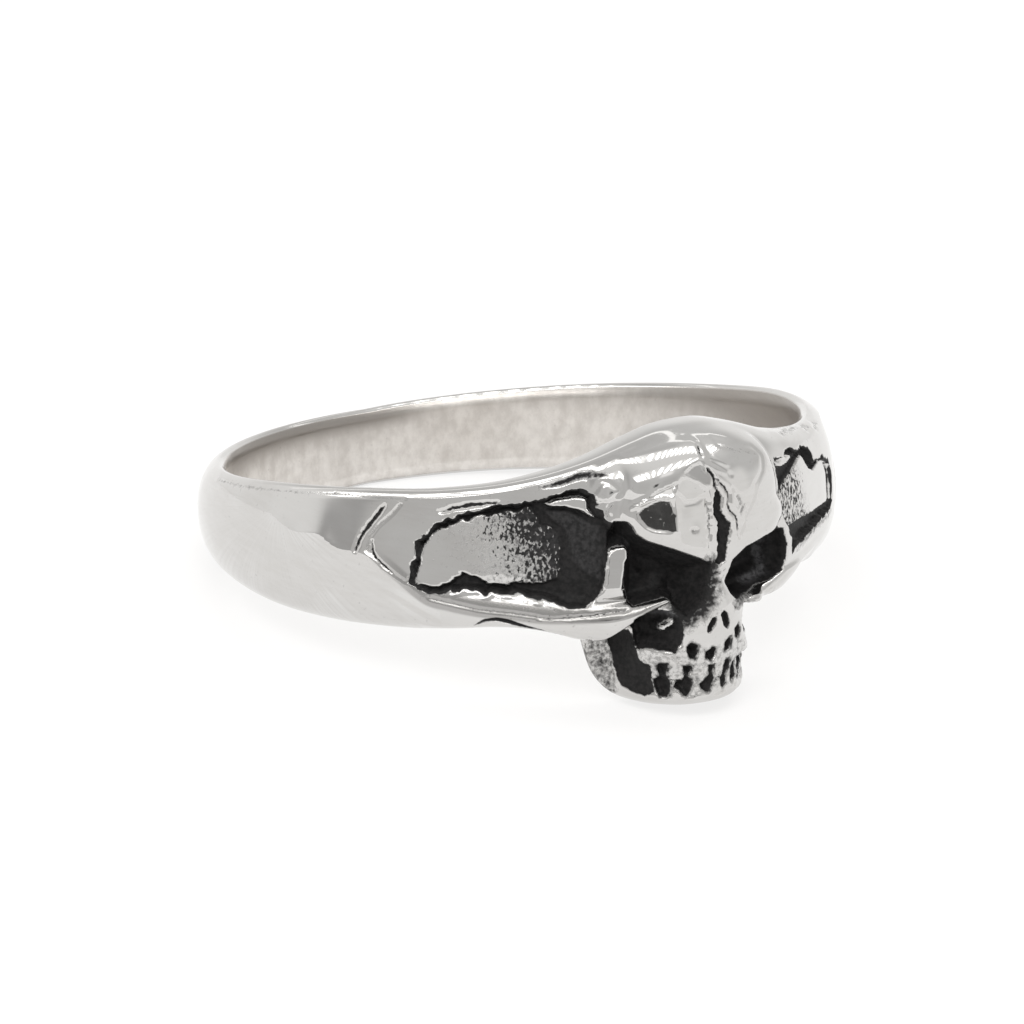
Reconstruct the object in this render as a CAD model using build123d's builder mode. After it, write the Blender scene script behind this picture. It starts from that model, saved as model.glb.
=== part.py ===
from build123d import *
import os
import numpy as np

# Skull ring, one solid casting. All sizes in millimetres, angles in degrees.
# Bearing: angle round the finger axis from the face of the skull, plus to the
# skull's right as seen from the front. Height: along the finger axis, from the
# middle plane of the plain band.

bore_radius = 9.9          # finger hole, US size 10
bore_core = 0.35           # depth of stock left inside the bore before it is cut
bore_edge = 0.18           # height of the rounding where the bore meets the rims
bore_edge_width = 0.35
face_reach = 12.0          # radius at which the bearings of the relief are laid out
band_wall = 1.0            # thickness of the plain band at the back
skull_wall = 2.35          # thickness behind the face
forehead_rise = 1.42       # swell of the forehead over its base
forehead_base = 1.75       # thickness at the edge of the forehead
forehead_half_angle = 14.5
forehead_height = 1.45     # height of the middle of the forehead
forehead_half_height = 3.1
jaw_bearing = -1.6         # the jaw is set slightly off the middle of the face
jaw_centre_reach = 9.2     # middle of the arch of the teeth
jaw_half_width = 2.45
jaw_depth = 3.30
jaw_flange = 0.42          # thickness of the flange behind the jaw
jaw_left_end = -20.9       # bearings at which the flange runs out
jaw_right_end = 14.3
socket_depth = 1.2         # eye sockets
temple_depth = 0.30        # recessed panels at the temples
hollow_depth = 0.85        # hollows under the cheekbones
jaw_side_depth = 0.30      # recess between the left side of the jaw and its flange
cheek_edge = 0.30          # height of the rounding under the cheekbones
tooth_gap_depth = 0.30
wall_left = 0.25           # least thickness left under any recess

# Mesh of the outer surface
face_half_angle = 22.0
shoulder_half_angle = 56.0
face_pitch = 1.035
shoulder_pitch = 2.0
back_pitch = 4.6
rows_in_edge = 3
rows_over_rim = 4
rows_down_side = 22
ray_root = 0.30            # depth into the wall at which the rays start

# bearing, height
TOP_RIM = [(0, 4.09), (5, 4.03), (10, 3.80), (20, 3.19), (32, 2.70), (45, 2.47),
           (60, 2.41), (80, 2.27), (105, 1.91), (140, 1.62), (180, 1.43)]
LOW_RIM = [(-180, -1.35), (-140, -1.50), (-105, -1.73), (-80, -2.13), (-60, -2.31), (-50, -2.34),
           (-42, -2.25), (-36, -2.18), (-31, -2.24), (-26, -2.44), (-22, -2.70), (-18, -2.78),
           (-15.5, -2.50), (-13, -2.15), (-8, -2.10), (5, -2.15), (8, -2.34), (14, -2.40), (19, -2.42),
           (24, -2.28), (29, -2.20), (36, -2.18), (42, -2.25), (50, -2.34), (60, -2.31), (80, -2.13),
           (105, -1.73), (140, -1.50), (180, -1.35)]
# bearing, share of the way from the back wall to the wall behind the face
WALL_SHARE = [(0, 1.0), (8, 0.985), (14, 0.90), (20, 0.70), (32, 0.33), (45, 0.15),
              (60, 0.075), (90, 0.045), (140, 0.02), (180, 0.0)]
# bearing, squareness of the upper and of the lower half of the band's section
SQUARE = [(0, 3.4, 3.0), (18, 3.4, 2.9), (26, 3.3, 2.4), (35, 3.2, 2.2), (50, 2.8, 2.2),
          (70, 2.4, 2.2), (180, 2.2, 2.2)]
# bearing, height of the underside of the jaw
JAW_LOW = [(-20.9, -2.70), (-20.2, -3.30), (-19.2, -3.95), (-18.0, -4.35), (-16.6, -4.66), (-14.6, -4.92),
           (-11.6, -5.12), (-7.6, -5.24), (-1.6, -5.27), (3.0, -5.22), (6.5, -5.06), (9.0, -4.84),
           (10.5, -4.58), (12.0, -4.15), (13.0, -3.65), (13.8, -3.05), (14.3, -2.45)]
# height, then bearing or thickness
NOSE_HALF = [(-3.6, 8.0), (-3.2, 7.4), (-2.6, 6.0), (-2.0, 4.4), (-1.5, 2.7), (-1.0, 1.6), (-0.5, 1.4), (0.4, 1.4)]
NOSE_CREST = [(-3.8, 2.62), (-3.3, 2.68), (-2.9, 2.82), (-2.5, 2.98), (-2.1, 3.07), (-1.6, 3.02),
              (-1.0, 2.86), (-0.4, 2.72), (0.4, 2.90)]
NOSE_MIDDLE = [(-3.6, -1.5), (-2.5, -1.2), (-1.2, -0.6), (0.4, -0.3)]
# bearing, height, thickness, half height
LEFT_CHEEK = [(-50, -1.10, 1.10, 0.90), (-40, -1.45, 1.38, 0.85), (-30, -1.75, 1.72, 0.80),
              (-22, -1.95, 2.08, 0.75), (-17, -1.98, 2.30, 0.62), (-14, -1.84, 2.42, 0.42),
              (-11, -1.60, 2.46, 0.24), (-7.5, -1.46, 2.40, 0.16)]
RIGHT_CHEEK = [(7.5, -2.02, 2.42, 0.22), (11, -2.05, 2.42, 0.28), (14, -2.02, 2.36, 0.42),
               (17, -1.95, 2.22, 0.55), (21, -1.78, 1.92, 0.60), (25, -1.55, 1.56, 0.62),
               (32, -1.30, 1.20, 0.70), (42, -1.10, 0.95, 0.80)]
# bearing, height of the ridge over the eyes, thickness
BROW = [(-16, 1.60, 2.05), (-12, 1.25, 2.62), (-6.7, 0.75, 3.00), (-2, 0.35, 3.02), (0, 0.25, 3.00),
        (2, 0.35, 3.00), (6, 0.60, 2.98), (12, 0.75, 2.70), (16, 0.80, 2.20)]

# Outlines of the recesses: bearing, height
LEFT_SOCKET = [(-14.6, 0.35), (-15.0, -0.7), (-13.9, -1.45), (-11.0, -1.36), (-8.0, -1.34), (-6.9, -1.75),
               (-5.6, -1.92), (-3.6, -1.45), (-2.2, -0.95), (-1.8, -0.35), (-3.6, -0.06), (-6.7, 0.25),
               (-9.6, 0.50), (-12.1, 0.78), (-12.9, 1.30), (-14.3, 1.40), (-15.7, 1.32), (-17.0, 1.20),
               (-17.3, 0.70), (-16.0, 0.52)]
RIGHT_SOCKET = [(15.6, 0.12), (12.5, 0.22), (9.0, 0.12), (4.3, -0.02), (1.7, -0.34), (0.8, -0.98),
                (1.2, -1.42), (2.7, -1.75), (5.6, -1.80), (9.3, -1.70), (13.6, -1.58), (15.8, -1.15),
                (16.2, -0.55)]
LEFT_TEMPLE = [(-50.2, -0.56), (-50.4, -0.16), (-49.2, 0.70), (-45.9, 1.15), (-44.6, 1.46), (-41.0, 1.67),
               (-38.4, 1.90), (-29.6, 1.97), (-27.7, 2.19), (-24.2, 2.32), (-20.6, 2.34), (-19.1, 2.19),
               (-17.8, 1.60), (-16.6, 1.21), (-17.2, 0.32), (-17.9, -0.68), (-19.6, -1.09), (-22.5, -1.36),
               (-29.9, -0.88), (-35.8, -0.62), (-40.2, -0.28), (-44.4, -0.86), (-48.5, -0.75)]
RIGHT_TEMPLE = [(14.2, 2.50), (18.2, 2.62), (22.7, 2.27), (24.8, 2.41), (27.3, 2.09), (30.7, 1.56),
                (33.0, 1.85), (38.0, 1.75), (41.1, 1.45), (45.0, 1.20), (48.6, 0.90), (49.8, 0.30),
                (48.9, -0.30), (41.1, -0.30), (36.0, -0.35), (27.7, -0.55), (23.5, -0.95), (19.5, -1.05),
                (17.7, -0.30), (16.9, 0.23), (15.6, 1.08), (15.1, 1.76)]
LEFT_HOLLOW = [(-14.2, -2.25), (-13.4, -1.92), (-11.5, -1.78), (-8.9, -1.72), (-7.2, -2.00), (-6.6, -2.50),
               (-7.4, -2.98), (-9.2, -3.08), (-11.1, -3.00), (-13.0, -2.95), (-14.0, -2.70)]
RIGHT_HOLLOW = [(11.0, -2.40), (10.2, -2.18), (8.3, -2.12), (5.9, -2.12), (4.6, -2.30), (4.0, -2.60),
                (4.8, -2.98), (6.4, -3.05), (8.3, -3.00), (10.2, -2.95), (11.0, -2.70)]
JAW_SIDE = [(-17.5, -2.9), (-17.2, -3.7), (-16.0, -4.25), (-13.5, -4.6), (-11.5, -4.5), (-11.2, -3.9),
            (-12.3, -3.3), (-14.2, -2.7)]
# Gaps between the teeth and the holes over their roots: bearing, height, half angle, half height
TOOTH_GAPS = [(-9.0, -3.72, 0.85, 0.30), (-5.9, -3.80, 0.80, 0.30), (-2.6, -3.85, 0.60, 0.28),
              (0.6, -3.80, 0.60, 0.28), (3.7, -3.72, 0.60, 0.28), (6.6, -3.65, 0.60, 0.28),
              (-9.2, -4.47, 0.95, 0.26), (-6.1, -4.50, 0.95, 0.24), (-3.0, -4.47, 0.70, 0.22),
              (0.0, -4.42, 0.65, 0.22), (3.1, -4.42, 0.70, 0.22), (6.2, -4.45, 0.70, 0.22),
              (-4.8, -3.22, 0.70, 0.22), (-1.8, -3.38, 0.70, 0.18), (1.2, -3.18, 0.60, 0.18),
              (3.7, -2.95, 0.60, 0.20)]


def mirrored(table):
    """A table given for one side, with the other side added."""
    return [(-row[0],) + row[1:] for row in reversed(table) if row[0] > 0] + list(table)


def curve(x, table, field=1):
    """Smooth curve through the points of a table."""
    at = np.array([row[0] for row in table], float)
    value = np.array([row[field] for row in table], float)
    slope = np.gradient(value, at)
    x = np.clip(x, at[0], at[-1])
    i = np.clip(np.searchsorted(at, x, side="right") - 1, 0, len(at) - 2)
    span = at[i + 1] - at[i]
    t = (x - at[i]) / span
    start = (2 * t**3 - 3 * t**2 + 1) * value[i] + (t**3 - 2 * t**2 + t) * span * slope[i]
    end = (3 * t**2 - 2 * t**3) * value[i + 1] + (t**3 - t**2) * span * slope[i + 1]
    return start + end


def above(x, limit):
    """How far a value lies over a limit, never less than nothing."""
    return np.clip(x - limit, 0, None)


def blend(a, b, width):
    """The higher of two surfaces with the crease between them rounded."""
    share = np.clip(0.5 + 0.5 * (a - b) / width, 0, 1)
    return b + (a - b) * share + width * share * (1 - share)


def oval(part, power):
    """Height of a squared-off oval at a part of its half width."""
    return np.clip(1 - np.clip(part, 0, 1) ** power, 0, 1) ** (1 / power)


def top_rim(bearing):
    return curve(bearing, mirrored(TOP_RIM))


def band_low_rim(bearing):
    return curve(bearing, LOW_RIM)


def beside_jaw(bearing):
    return (bearing <= jaw_left_end) | (bearing >= jaw_right_end)


def jaw_low_rim(bearing):
    return curve(bearing, JAW_LOW)


def low_rim(bearing):
    """Lower edge of the whole casting, the jaw included."""
    own = band_low_rim(bearing)
    return np.where(beside_jaw(bearing), own, np.minimum(own, jaw_low_rim(bearing)))


def band(bearing, height):
    """Thickness of the band and of the plate behind the face."""
    top = top_rim(bearing)
    low = band_low_rim(bearing)
    part = (height - (top + low) / 2) / ((top - low) / 2)
    square = mirrored(SQUARE)
    power = np.where(part > 0, curve(bearing, square, 1), curve(bearing, square, 2))
    share = curve(bearing, mirrored(WALL_SHARE))
    wall = band_wall + (skull_wall - band_wall) * share
    return np.where(np.abs(part) < 1, wall * oval(np.abs(part), power), -2.0)


def forehead(bearing, height):
    """Domed cranium, rounded over to the top rim."""
    power = 2.2
    away = np.abs(bearing / forehead_half_angle) ** power
    away = away + np.abs((height - forehead_height) / forehead_half_height) ** power
    dome = np.where(away < 1, np.clip(1 - away, 0, 1) ** (1 / power), 1 - away)
    top = top_rim(bearing) - 0.04
    over = np.clip((height - 1.2) / (top - 1.2), 0, 1)
    crest = (1 - over**5.0) ** (1 / 2.6)
    return np.where(height < top, (forehead_base + forehead_rise * dome) * crest, -2.0)


def brow(bearing, height):
    """Ridge over the eye sockets."""
    ridge = curve(bearing, BROW, 1)
    thickness = curve(bearing, BROW, 2)
    return thickness - 0.28 * ((height - ridge) / 0.60) ** 2 - 0.20 * above(np.abs(bearing), 14) ** 2


def cheek(bearing, height, table):
    """Cheekbone, running back into the shoulder of the band."""
    near = np.clip(bearing, table[0][0], table[-1][0])
    part = (height - curve(near, table, 1)) / curve(near, table, 3)
    thickness = curve(near, table, 2) - 0.30 * part**2 - 0.30 * above(np.abs(part), 1)
    thickness = thickness - 0.02 * (bearing - near) ** 2
    over = height - band_low_rim(bearing)
    thickness = thickness * oval(1 - np.clip(over / cheek_edge, 0, 1), 2.4)
    return np.where((np.abs(bearing) < 60) & (over > 0), thickness, -2.0)


def arch(bearing, half_width, depth):
    """Thickness out to an elliptical arch seen along the finger axis."""
    across = np.sin(np.radians(bearing))
    out = np.cos(np.radians(bearing))
    middle = jaw_centre_reach * np.tan(np.radians(jaw_bearing)) - 0.09
    a = (across / half_width) ** 2 + (out / depth) ** 2
    b = -2 * (middle * across / half_width**2 + jaw_centre_reach * out / depth**2)
    c = (middle / half_width) ** 2 + (jaw_centre_reach / depth) ** 2 - 1
    root = b * b - 4 * a * c
    reach = (-b + np.sqrt(np.clip(root, 0, None))) / (2 * a)
    return np.where(root > 0, reach, bore_radius - 0.9) - bore_radius


def jaw(bearing, height):
    """Arch of the teeth with the flange that carries it back to the bore."""
    low = jaw_low_rim(bearing)
    edge = oval(1 - np.clip((height - low) / 0.42, 0, 1), 2.6)
    front = arch(bearing, jaw_half_width, jaw_depth) * edge - 1.1 * above(height, -1.9) ** 2
    flange = jaw_flange * edge - 1.5 * above(height, -2.3)
    inside = ~beside_jaw(bearing) & (height > low) & (height < 1.5)
    return np.where(inside, blend(front, flange, 0.15), -2.0)


def nose(bearing, height):
    """Bridge of the nose, widening into the upper jaw."""
    near = np.clip(height, -3.6, 0.4)
    part = (bearing - curve(near, NOSE_MIDDLE)) / curve(near, NOSE_HALF)
    ridge = curve(near, NOSE_CREST) - 0.25 * part**2 - 0.25 * above(np.abs(part), 1) ** 2
    side = arch(bearing, jaw_half_width - 0.02, jaw_depth + 0.5)
    ridge = -blend(-ridge, -side, 0.15) - 2.0 * above(height, 0.4) - 1.2 * above(-height, 3.6)
    return np.where((height > -4.4) & (height < 0.8), ridge, -2.0)


def body(bearing, height):
    """Thickness of the casting over the bore before the recesses are sunk."""
    plate = band(bearing, height)
    front = blend(forehead(bearing, height), brow(bearing, height), 0.25)
    front = blend(front, cheek(bearing, height, LEFT_CHEEK), 0.12)
    front = blend(front, cheek(bearing, height, RIGHT_CHEEK), 0.12)
    upper = np.where(plate > -1, blend(plate, front, 0.12), plate)
    teeth = jaw(bearing, height)
    lower = np.where(teeth > -1, blend(teeth, nose(bearing, height), 0.10), -2.0)
    return blend(upper, lower, 0.08)


def distance_inside(bearing, height, outline):
    """How far a place lies inside a closed outline, in millimetres."""
    x = np.radians(bearing) * face_reach + 0 * height
    y = height + 0 * bearing
    nearest = np.full(np.shape(x), 1e9)
    inside = np.zeros(np.shape(x), bool)
    for first, second in zip(outline, outline[1:] + outline[:1]):
        ax, ay = np.radians(first[0]) * face_reach, first[1]
        ex, ey = np.radians(second[0]) * face_reach - ax, second[1] - ay
        t = np.clip(((x - ax) * ex + (y - ay) * ey) / (ex * ex + ey * ey), 0, 1)
        nearest = np.minimum(nearest, (x - ax - t * ex) ** 2 + (y - ay - t * ey) ** 2)
        crossed = (ay > y) != (ay + ey > y)
        inside ^= crossed & (x < ax + (y - ay) / (ey if ey else 1e-9) * ex)
    return np.where(inside, np.sqrt(nearest), -np.sqrt(nearest))


def ease(x, low, high):
    t = np.clip((x - low) / (high - low), 0, 1)
    return t * t * (3 - 2 * t)


def bowl(bearing, height, outline, rim_depth, floor_depth, rim_width, reach):
    """Recess with a steep rim and a rounded floor."""
    inside = distance_inside(bearing, height, outline)
    rim = rim_depth * ease(inside, -0.02, rim_width)
    return rim + (floor_depth - rim_depth) * ease(inside, rim_width / 2, reach)


def gap(bearing, height, row):
    away = np.sqrt(((bearing - row[0]) / row[2]) ** 2 + ((height - row[1]) / row[3]) ** 2)
    return tooth_gap_depth * ease(1.25 - away, 0, 0.6)


def recesses(bearing, height):
    """Depth of every recess sunk into the face and the shoulders."""
    depth = bowl(bearing, height, LEFT_SOCKET, 0.45 * socket_depth, socket_depth, 0.22, 0.7)
    right = bowl(bearing, height, RIGHT_SOCKET, 0.45 * socket_depth, socket_depth, 0.22, 0.7)
    depth = np.maximum(depth, right)
    for outline in (LEFT_TEMPLE, RIGHT_TEMPLE):
        panel = bowl(bearing, height, outline, temple_depth, temple_depth, 0.12, 0.8)
        depth = np.maximum(depth, panel)
    for outline in (LEFT_HOLLOW, RIGHT_HOLLOW):
        hollow = bowl(bearing, height, outline, 0.53 * hollow_depth, hollow_depth, 0.20, 0.55)
        depth = np.maximum(depth, hollow)
    side = bowl(bearing, height, JAW_SIDE, 0.5 * jaw_side_depth, jaw_side_depth, 0.15, 0.5)
    depth = np.maximum(depth, side)
    for row in TOOTH_GAPS:
        depth = np.maximum(depth, gap(bearing, height, row))
    return depth


def bearings():
    """Bearings of the sections, close together over the face."""
    face = np.arange(-face_half_angle, face_half_angle, face_pitch)
    count = round((shoulder_half_angle - face_half_angle) / shoulder_pitch)
    left = np.linspace(-shoulder_half_angle, -face_half_angle, count, endpoint=False)
    right = np.linspace(face_half_angle, shoulder_half_angle, count, endpoint=False)
    count = round((360 - 2 * shoulder_half_angle) / back_pitch)
    back = np.linspace(shoulder_half_angle, 360 - shoulder_half_angle, count, endpoint=False)
    back = np.where(back > 180, back - 360, back)
    return np.concatenate([left, face, right, back])


def solid_at(bearing, radius, height):
    """Whether a place is inside the casting before the bore is cut."""
    near = np.clip(1 - (radius - bore_radius) / bore_edge_width, 0, 1)
    rounding = bore_edge * near**2
    under_top = height < top_rim(bearing) - rounding
    over_low = height > low_rim(bearing) + rounding
    return under_top & over_low & (radius < bore_radius + body(bearing, height))


def rays(bearing):
    """Starting radii, starting heights and slopes of the rays that find the rows."""
    top, low, own = top_rim(bearing), low_rim(bearing), band_low_rim(bearing)
    corner = 0.1 * (top - own)
    knee = own + 0.30 * (top - own)
    inner = np.concatenate([[-bore_core], np.linspace(0, ray_root, rows_in_edge)])
    fan = 90 * np.linspace(1, 0, rows_over_rim + 1, endpoint=False)[1:] ** 1.6
    turned = np.concatenate([np.full(len(inner), 90.0), fan])
    slope = np.concatenate([turned, np.zeros(rows_down_side), -turned[::-1]])
    root = np.concatenate([inner, np.full(len(fan), ray_root)])
    root = np.concatenate([root, np.full(rows_down_side, ray_root), root[::-1]])
    down = np.linspace(0, 1, rows_down_side)
    share = np.concatenate([np.zeros(len(turned)), down, np.ones(len(turned))])
    upper = top - corner + (knee - top + corner) * np.clip(share / 0.56, 0, 1)
    lower = knee + (low + corner - knee) * np.clip((share - 0.56) / 0.44, 0, 1)
    return bore_radius + root, np.where(share < 0.56, upper, lower), np.radians(slope)


def surface():
    """Radius and height of every row of every section, found along rays."""
    bearing = bearings()[:, None]
    start, start_height, slope = rays(bearing)

    def outside(travel):
        return ~solid_at(bearing, start + travel * np.cos(slope), start_height + travel * np.sin(slope))

    far = np.zeros(start_height.shape)
    still_inside = np.ones(start_height.shape, bool)
    for travel in np.arange(0.1, 6.0, 0.1):
        left = outside(travel)
        far = np.where(left & still_inside, travel, far)
        still_inside &= ~left
    near = far - 0.1
    for _ in range(14):
        middle = (near + far) / 2
        left = outside(middle)
        near, far = np.where(left, near, middle), np.where(left, middle, far)
    radius = start + far * np.cos(slope)
    height = start_height + far * np.sin(slope)
    sunk = np.maximum(radius - recesses(bearing, height), bore_radius + wall_left)
    return bearing, np.minimum(radius, np.where(radius > bore_radius + wall_left, sunk, radius)), height


def points(bearing, radius, height):
    turn = np.radians(bearing)
    return np.stack([radius * np.sin(turn), -radius * np.cos(turn), height + 0 * radius], -1)


def rest_tilt(spots):
    """Angle at which the jaw and the back of the band touch the ground together."""
    low, high = 0.0, 30.0
    for _ in range(40):
        tilt = (low + high) / 2
        lift = spots[:, 2] * np.cos(np.radians(tilt)) - spots[:, 1] * np.sin(np.radians(tilt))
        front = lift[spots[:, 1] < 0].min()
        back = lift[spots[:, 1] > 0].min()
        low, high = (tilt, high) if front < back else (low, tilt)
    return (low + high) / 2


def tilted(spots, tilt):
    """The ring leaned back about the left to right axis."""
    c, s = np.cos(np.radians(tilt)), np.sin(np.radians(tilt))
    y = spots[..., 1] * c + spots[..., 2] * s
    z = -spots[..., 1] * s + spots[..., 2] * c
    return np.stack([spots[..., 0], y, z], -1)


def triangle(a, b, c):
    corners = [Vector(*a), Vector(*b), Vector(*c)]
    return Face(Wire.make_polygon(corners, close=True))


def skin(grid):
    """Closed skin of flat faces over a grid that closes on itself both ways."""
    faces = []
    sections, rows = grid.shape[:2]
    for i in range(sections):
        j = (i + 1) % sections
        for k in range(rows):
            n = (k + 1) % rows
            a, b, c, d = grid[i, k], grid[j, k], grid[j, n], grid[i, n]
            if np.linalg.norm(a - c) < np.linalg.norm(b - d):
                faces += [triangle(a, b, c), triangle(a, c, d)]
            else:
                faces += [triangle(a, b, d), triangle(b, c, d)]
    return faces


def shift_to_origin(spots):
    """Move that centres the ring over the origin and sets it on the ground."""
    low, high = spots.min(0), spots.max(0)
    return np.array([-(low[0] + high[0]) / 2, -(low[1] + high[1]) / 2, -low[2]])


section_bearing, section_radius, section_height = surface()
outer = points(section_bearing, section_radius, section_height)
tilt = rest_tilt(outer.reshape(-1, 3))
outer = tilted(outer, tilt)
centre = shift_to_origin(outer.reshape(-1, 3))
outer = outer + centre

with BuildPart() as skull_ring:
    add(Solid(Shell(skin(outer))))
    with Locations(Location((centre[0], centre[1], centre[2]), (-tilt, 0, 0))):
        Cylinder(bore_radius, 30, mode=Mode.SUBTRACT)
skull_ring.part.label = "skull_ring"

os.makedirs("parts", exist_ok=True)
export_step(skull_ring.part, "parts/skull_ring.step")
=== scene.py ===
from math import cos, radians, sin

import bpy
import numpy as np
from mathutils import Matrix, Vector


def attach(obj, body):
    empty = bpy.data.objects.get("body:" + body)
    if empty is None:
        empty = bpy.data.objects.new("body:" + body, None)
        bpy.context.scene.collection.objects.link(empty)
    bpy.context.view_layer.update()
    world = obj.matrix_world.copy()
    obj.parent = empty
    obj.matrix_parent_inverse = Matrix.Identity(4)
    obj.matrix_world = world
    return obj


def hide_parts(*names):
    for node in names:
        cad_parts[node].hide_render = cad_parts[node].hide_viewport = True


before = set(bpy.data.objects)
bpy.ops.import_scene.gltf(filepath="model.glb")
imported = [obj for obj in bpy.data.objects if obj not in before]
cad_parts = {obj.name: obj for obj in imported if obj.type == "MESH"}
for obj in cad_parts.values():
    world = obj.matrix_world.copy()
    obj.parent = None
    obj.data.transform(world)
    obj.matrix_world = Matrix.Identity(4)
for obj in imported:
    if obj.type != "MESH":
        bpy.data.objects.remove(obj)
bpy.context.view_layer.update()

# Skull ring, dressed. The form below is worked out in millimetres over the bearing
# round the finger axis (degrees, 0 at the face) and the height along that axis, then
# leaned back by the rest angle, set over the origin and turned into metres.

rest_angle = 10.99
hole_centre = (0.0, 1.2202, 3.2346)   # middle of the plain band on the finger axis

bore_radius = 9.9
bore_edge = 0.18
bore_edge_width = 0.35
face_reach = 12.0
band_wall = 1.0
skull_wall = 2.35
forehead_rise = 1.42
forehead_base = 1.75
forehead_half_angle = 14.5
forehead_height = 1.45
forehead_half_height = 3.1
jaw_bearing = -1.6
jaw_centre_reach = 9.2
jaw_half_width = 2.45
jaw_depth = 3.30
jaw_flange = 0.42
jaw_left_end = -20.9
jaw_right_end = 14.3
cheek_edge = 0.30
wall_left = 0.25
ray_root = 0.30
roll_turn = radians(80)

# bearing, height
TOP_RIM = [
    (0, 4.09), (5, 4.03), (10, 3.8), (20, 3.19), (32, 2.7), (45, 2.47), (60, 2.41), (80, 2.27), (105, 1.91),
    (140, 1.62), (180, 1.43),
]
LOW_RIM = [
    (-180, -1.35), (-140, -1.5), (-105, -1.73), (-80, -2.13), (-60, -2.31), (-50, -2.34), (-42, -2.25), (-36, -2.18),
    (-31, -2.24), (-26, -2.44), (-22, -2.7), (-18, -2.78), (-15.5, -2.5), (-13, -2.15), (-8, -2.1), (5, -2.15),
    (8, -2.34), (14, -2.4), (19, -2.42), (24, -2.28), (29, -2.2), (36, -2.18), (42, -2.25), (50, -2.34), (60, -2.31),
    (80, -2.13), (105, -1.73), (140, -1.5), (180, -1.35),
]
# bearing, share of the way from the back wall to the wall behind the face
WALL_SHARE = [
    (0, 1), (8, 0.985), (14, 0.9), (20, 0.7), (32, 0.33), (45, 0.15), (60, 0.075), (90, 0.045), (140, 0.02), (180, 0),
]
# bearing, squareness of the upper and of the lower half of the band's section
SQUARE = [
    (0, 3.4, 3), (18, 3.4, 2.9), (26, 3.3, 2.4), (35, 3.2, 2.2), (50, 2.8, 2.2), (70, 2.4, 2.2), (180, 2.2, 2.2),
]
# bearing, height of the underside of the jaw
JAW_LOW = [
    (-20.9, -2.7), (-20.2, -3.3), (-19.2, -3.95), (-18, -4.35), (-16.6, -4.66), (-14.6, -4.92), (-11.6, -5.12),
    (-7.6, -5.24), (-1.6, -5.27), (3, -5.22), (6.5, -5.06), (9, -4.84), (10.5, -4.58), (12, -4.15), (13, -3.65),
    (13.8, -3.05), (14.3, -2.45),
]
# height, then bearing or thickness
NOSE_HALF = [(-3.6, 8), (-3.2, 7.4), (-2.6, 6), (-2, 4.4), (-1.5, 2.7), (-1, 1.6), (-0.5, 1.4), (0.4, 1.4)]
NOSE_CREST = [
    (-3.8, 2.62), (-3.3, 2.68), (-2.9, 2.82), (-2.5, 2.98), (-2.1, 3.07), (-1.6, 3.02), (-1, 2.86), (-0.4, 2.72),
    (0.4, 2.9),
]
NOSE_MIDDLE = [(-3.6, -1.5), (-2.5, -1.2), (-1.2, -0.6), (0.4, -0.3)]
# bearing, height, thickness, half height
LEFT_CHEEK = [
    (-50, -1.1, 1.1, 0.9), (-40, -1.45, 1.38, 0.85), (-30, -1.75, 1.72, 0.8), (-22, -1.95, 2.08, 0.75),
    (-17, -1.98, 2.3, 0.62), (-14, -1.84, 2.42, 0.42), (-11, -1.6, 2.46, 0.24), (-7.5, -1.46, 2.4, 0.16),
]
RIGHT_CHEEK = [
    (7.5, -2.02, 2.42, 0.22), (11, -2.05, 2.42, 0.28), (14, -2.02, 2.36, 0.42), (17, -1.95, 2.22, 0.55),
    (21, -1.78, 1.92, 0.6), (25, -1.55, 1.56, 0.62), (32, -1.3, 1.2, 0.7), (42, -1.1, 0.95, 0.8),
]
# bearing, height of the ridge over the eyes, thickness
BROW = [
    (-16, 1.6, 2.05), (-12, 1.25, 2.62), (-6.7, 0.75, 3), (-2, 0.35, 3.02), (0, 0.25, 3), (2, 0.35, 3),
    (6, 0.6, 2.98), (12, 0.75, 2.7), (16, 0.8, 2.2),
]


def mirrored(table):
    """A table given for one side, with the other side added."""
    return [(-row[0],) + row[1:] for row in reversed(table) if row[0] > 0] + list(table)


def curve(x, table, field=1):
    """Smooth curve through the points of a table."""
    at = np.array([row[0] for row in table], float)
    value = np.array([row[field] for row in table], float)
    slope = np.gradient(value, at)
    x = np.clip(x, at[0], at[-1])
    i = np.clip(np.searchsorted(at, x, side="right") - 1, 0, len(at) - 2)
    span = at[i + 1] - at[i]
    t = (x - at[i]) / span
    start = (2 * t**3 - 3 * t**2 + 1) * value[i] + (t**3 - 2 * t**2 + t) * span * slope[i]
    end = (3 * t**2 - 2 * t**3) * value[i + 1] + (t**3 - t**2) * span * slope[i + 1]
    return start + end


def above(x, limit):
    """How far a value lies over a limit, never less than nothing."""
    return np.clip(x - limit, 0, None)


def blend(a, b, width):
    """The higher of two surfaces with the crease between them rounded."""
    share = np.clip(0.5 + 0.5 * (a - b) / width, 0, 1)
    return b + (a - b) * share + width * share * (1 - share)


def oval(part, power):
    """Height of a squared-off oval at a part of its half width."""
    return np.clip(1 - np.clip(part, 0, 1) ** power, 0, 1) ** (1 / power)


def top_rim(bearing):
    return curve(bearing, mirrored(TOP_RIM))


def beside_jaw(bearing):
    return (bearing <= jaw_left_end) | (bearing >= jaw_right_end)


def low_rim(bearing):
    """Lower edge of the whole casting, the jaw included."""
    own = curve(bearing, LOW_RIM)
    return np.where(beside_jaw(bearing), own, np.minimum(own, curve(bearing, JAW_LOW)))


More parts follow.
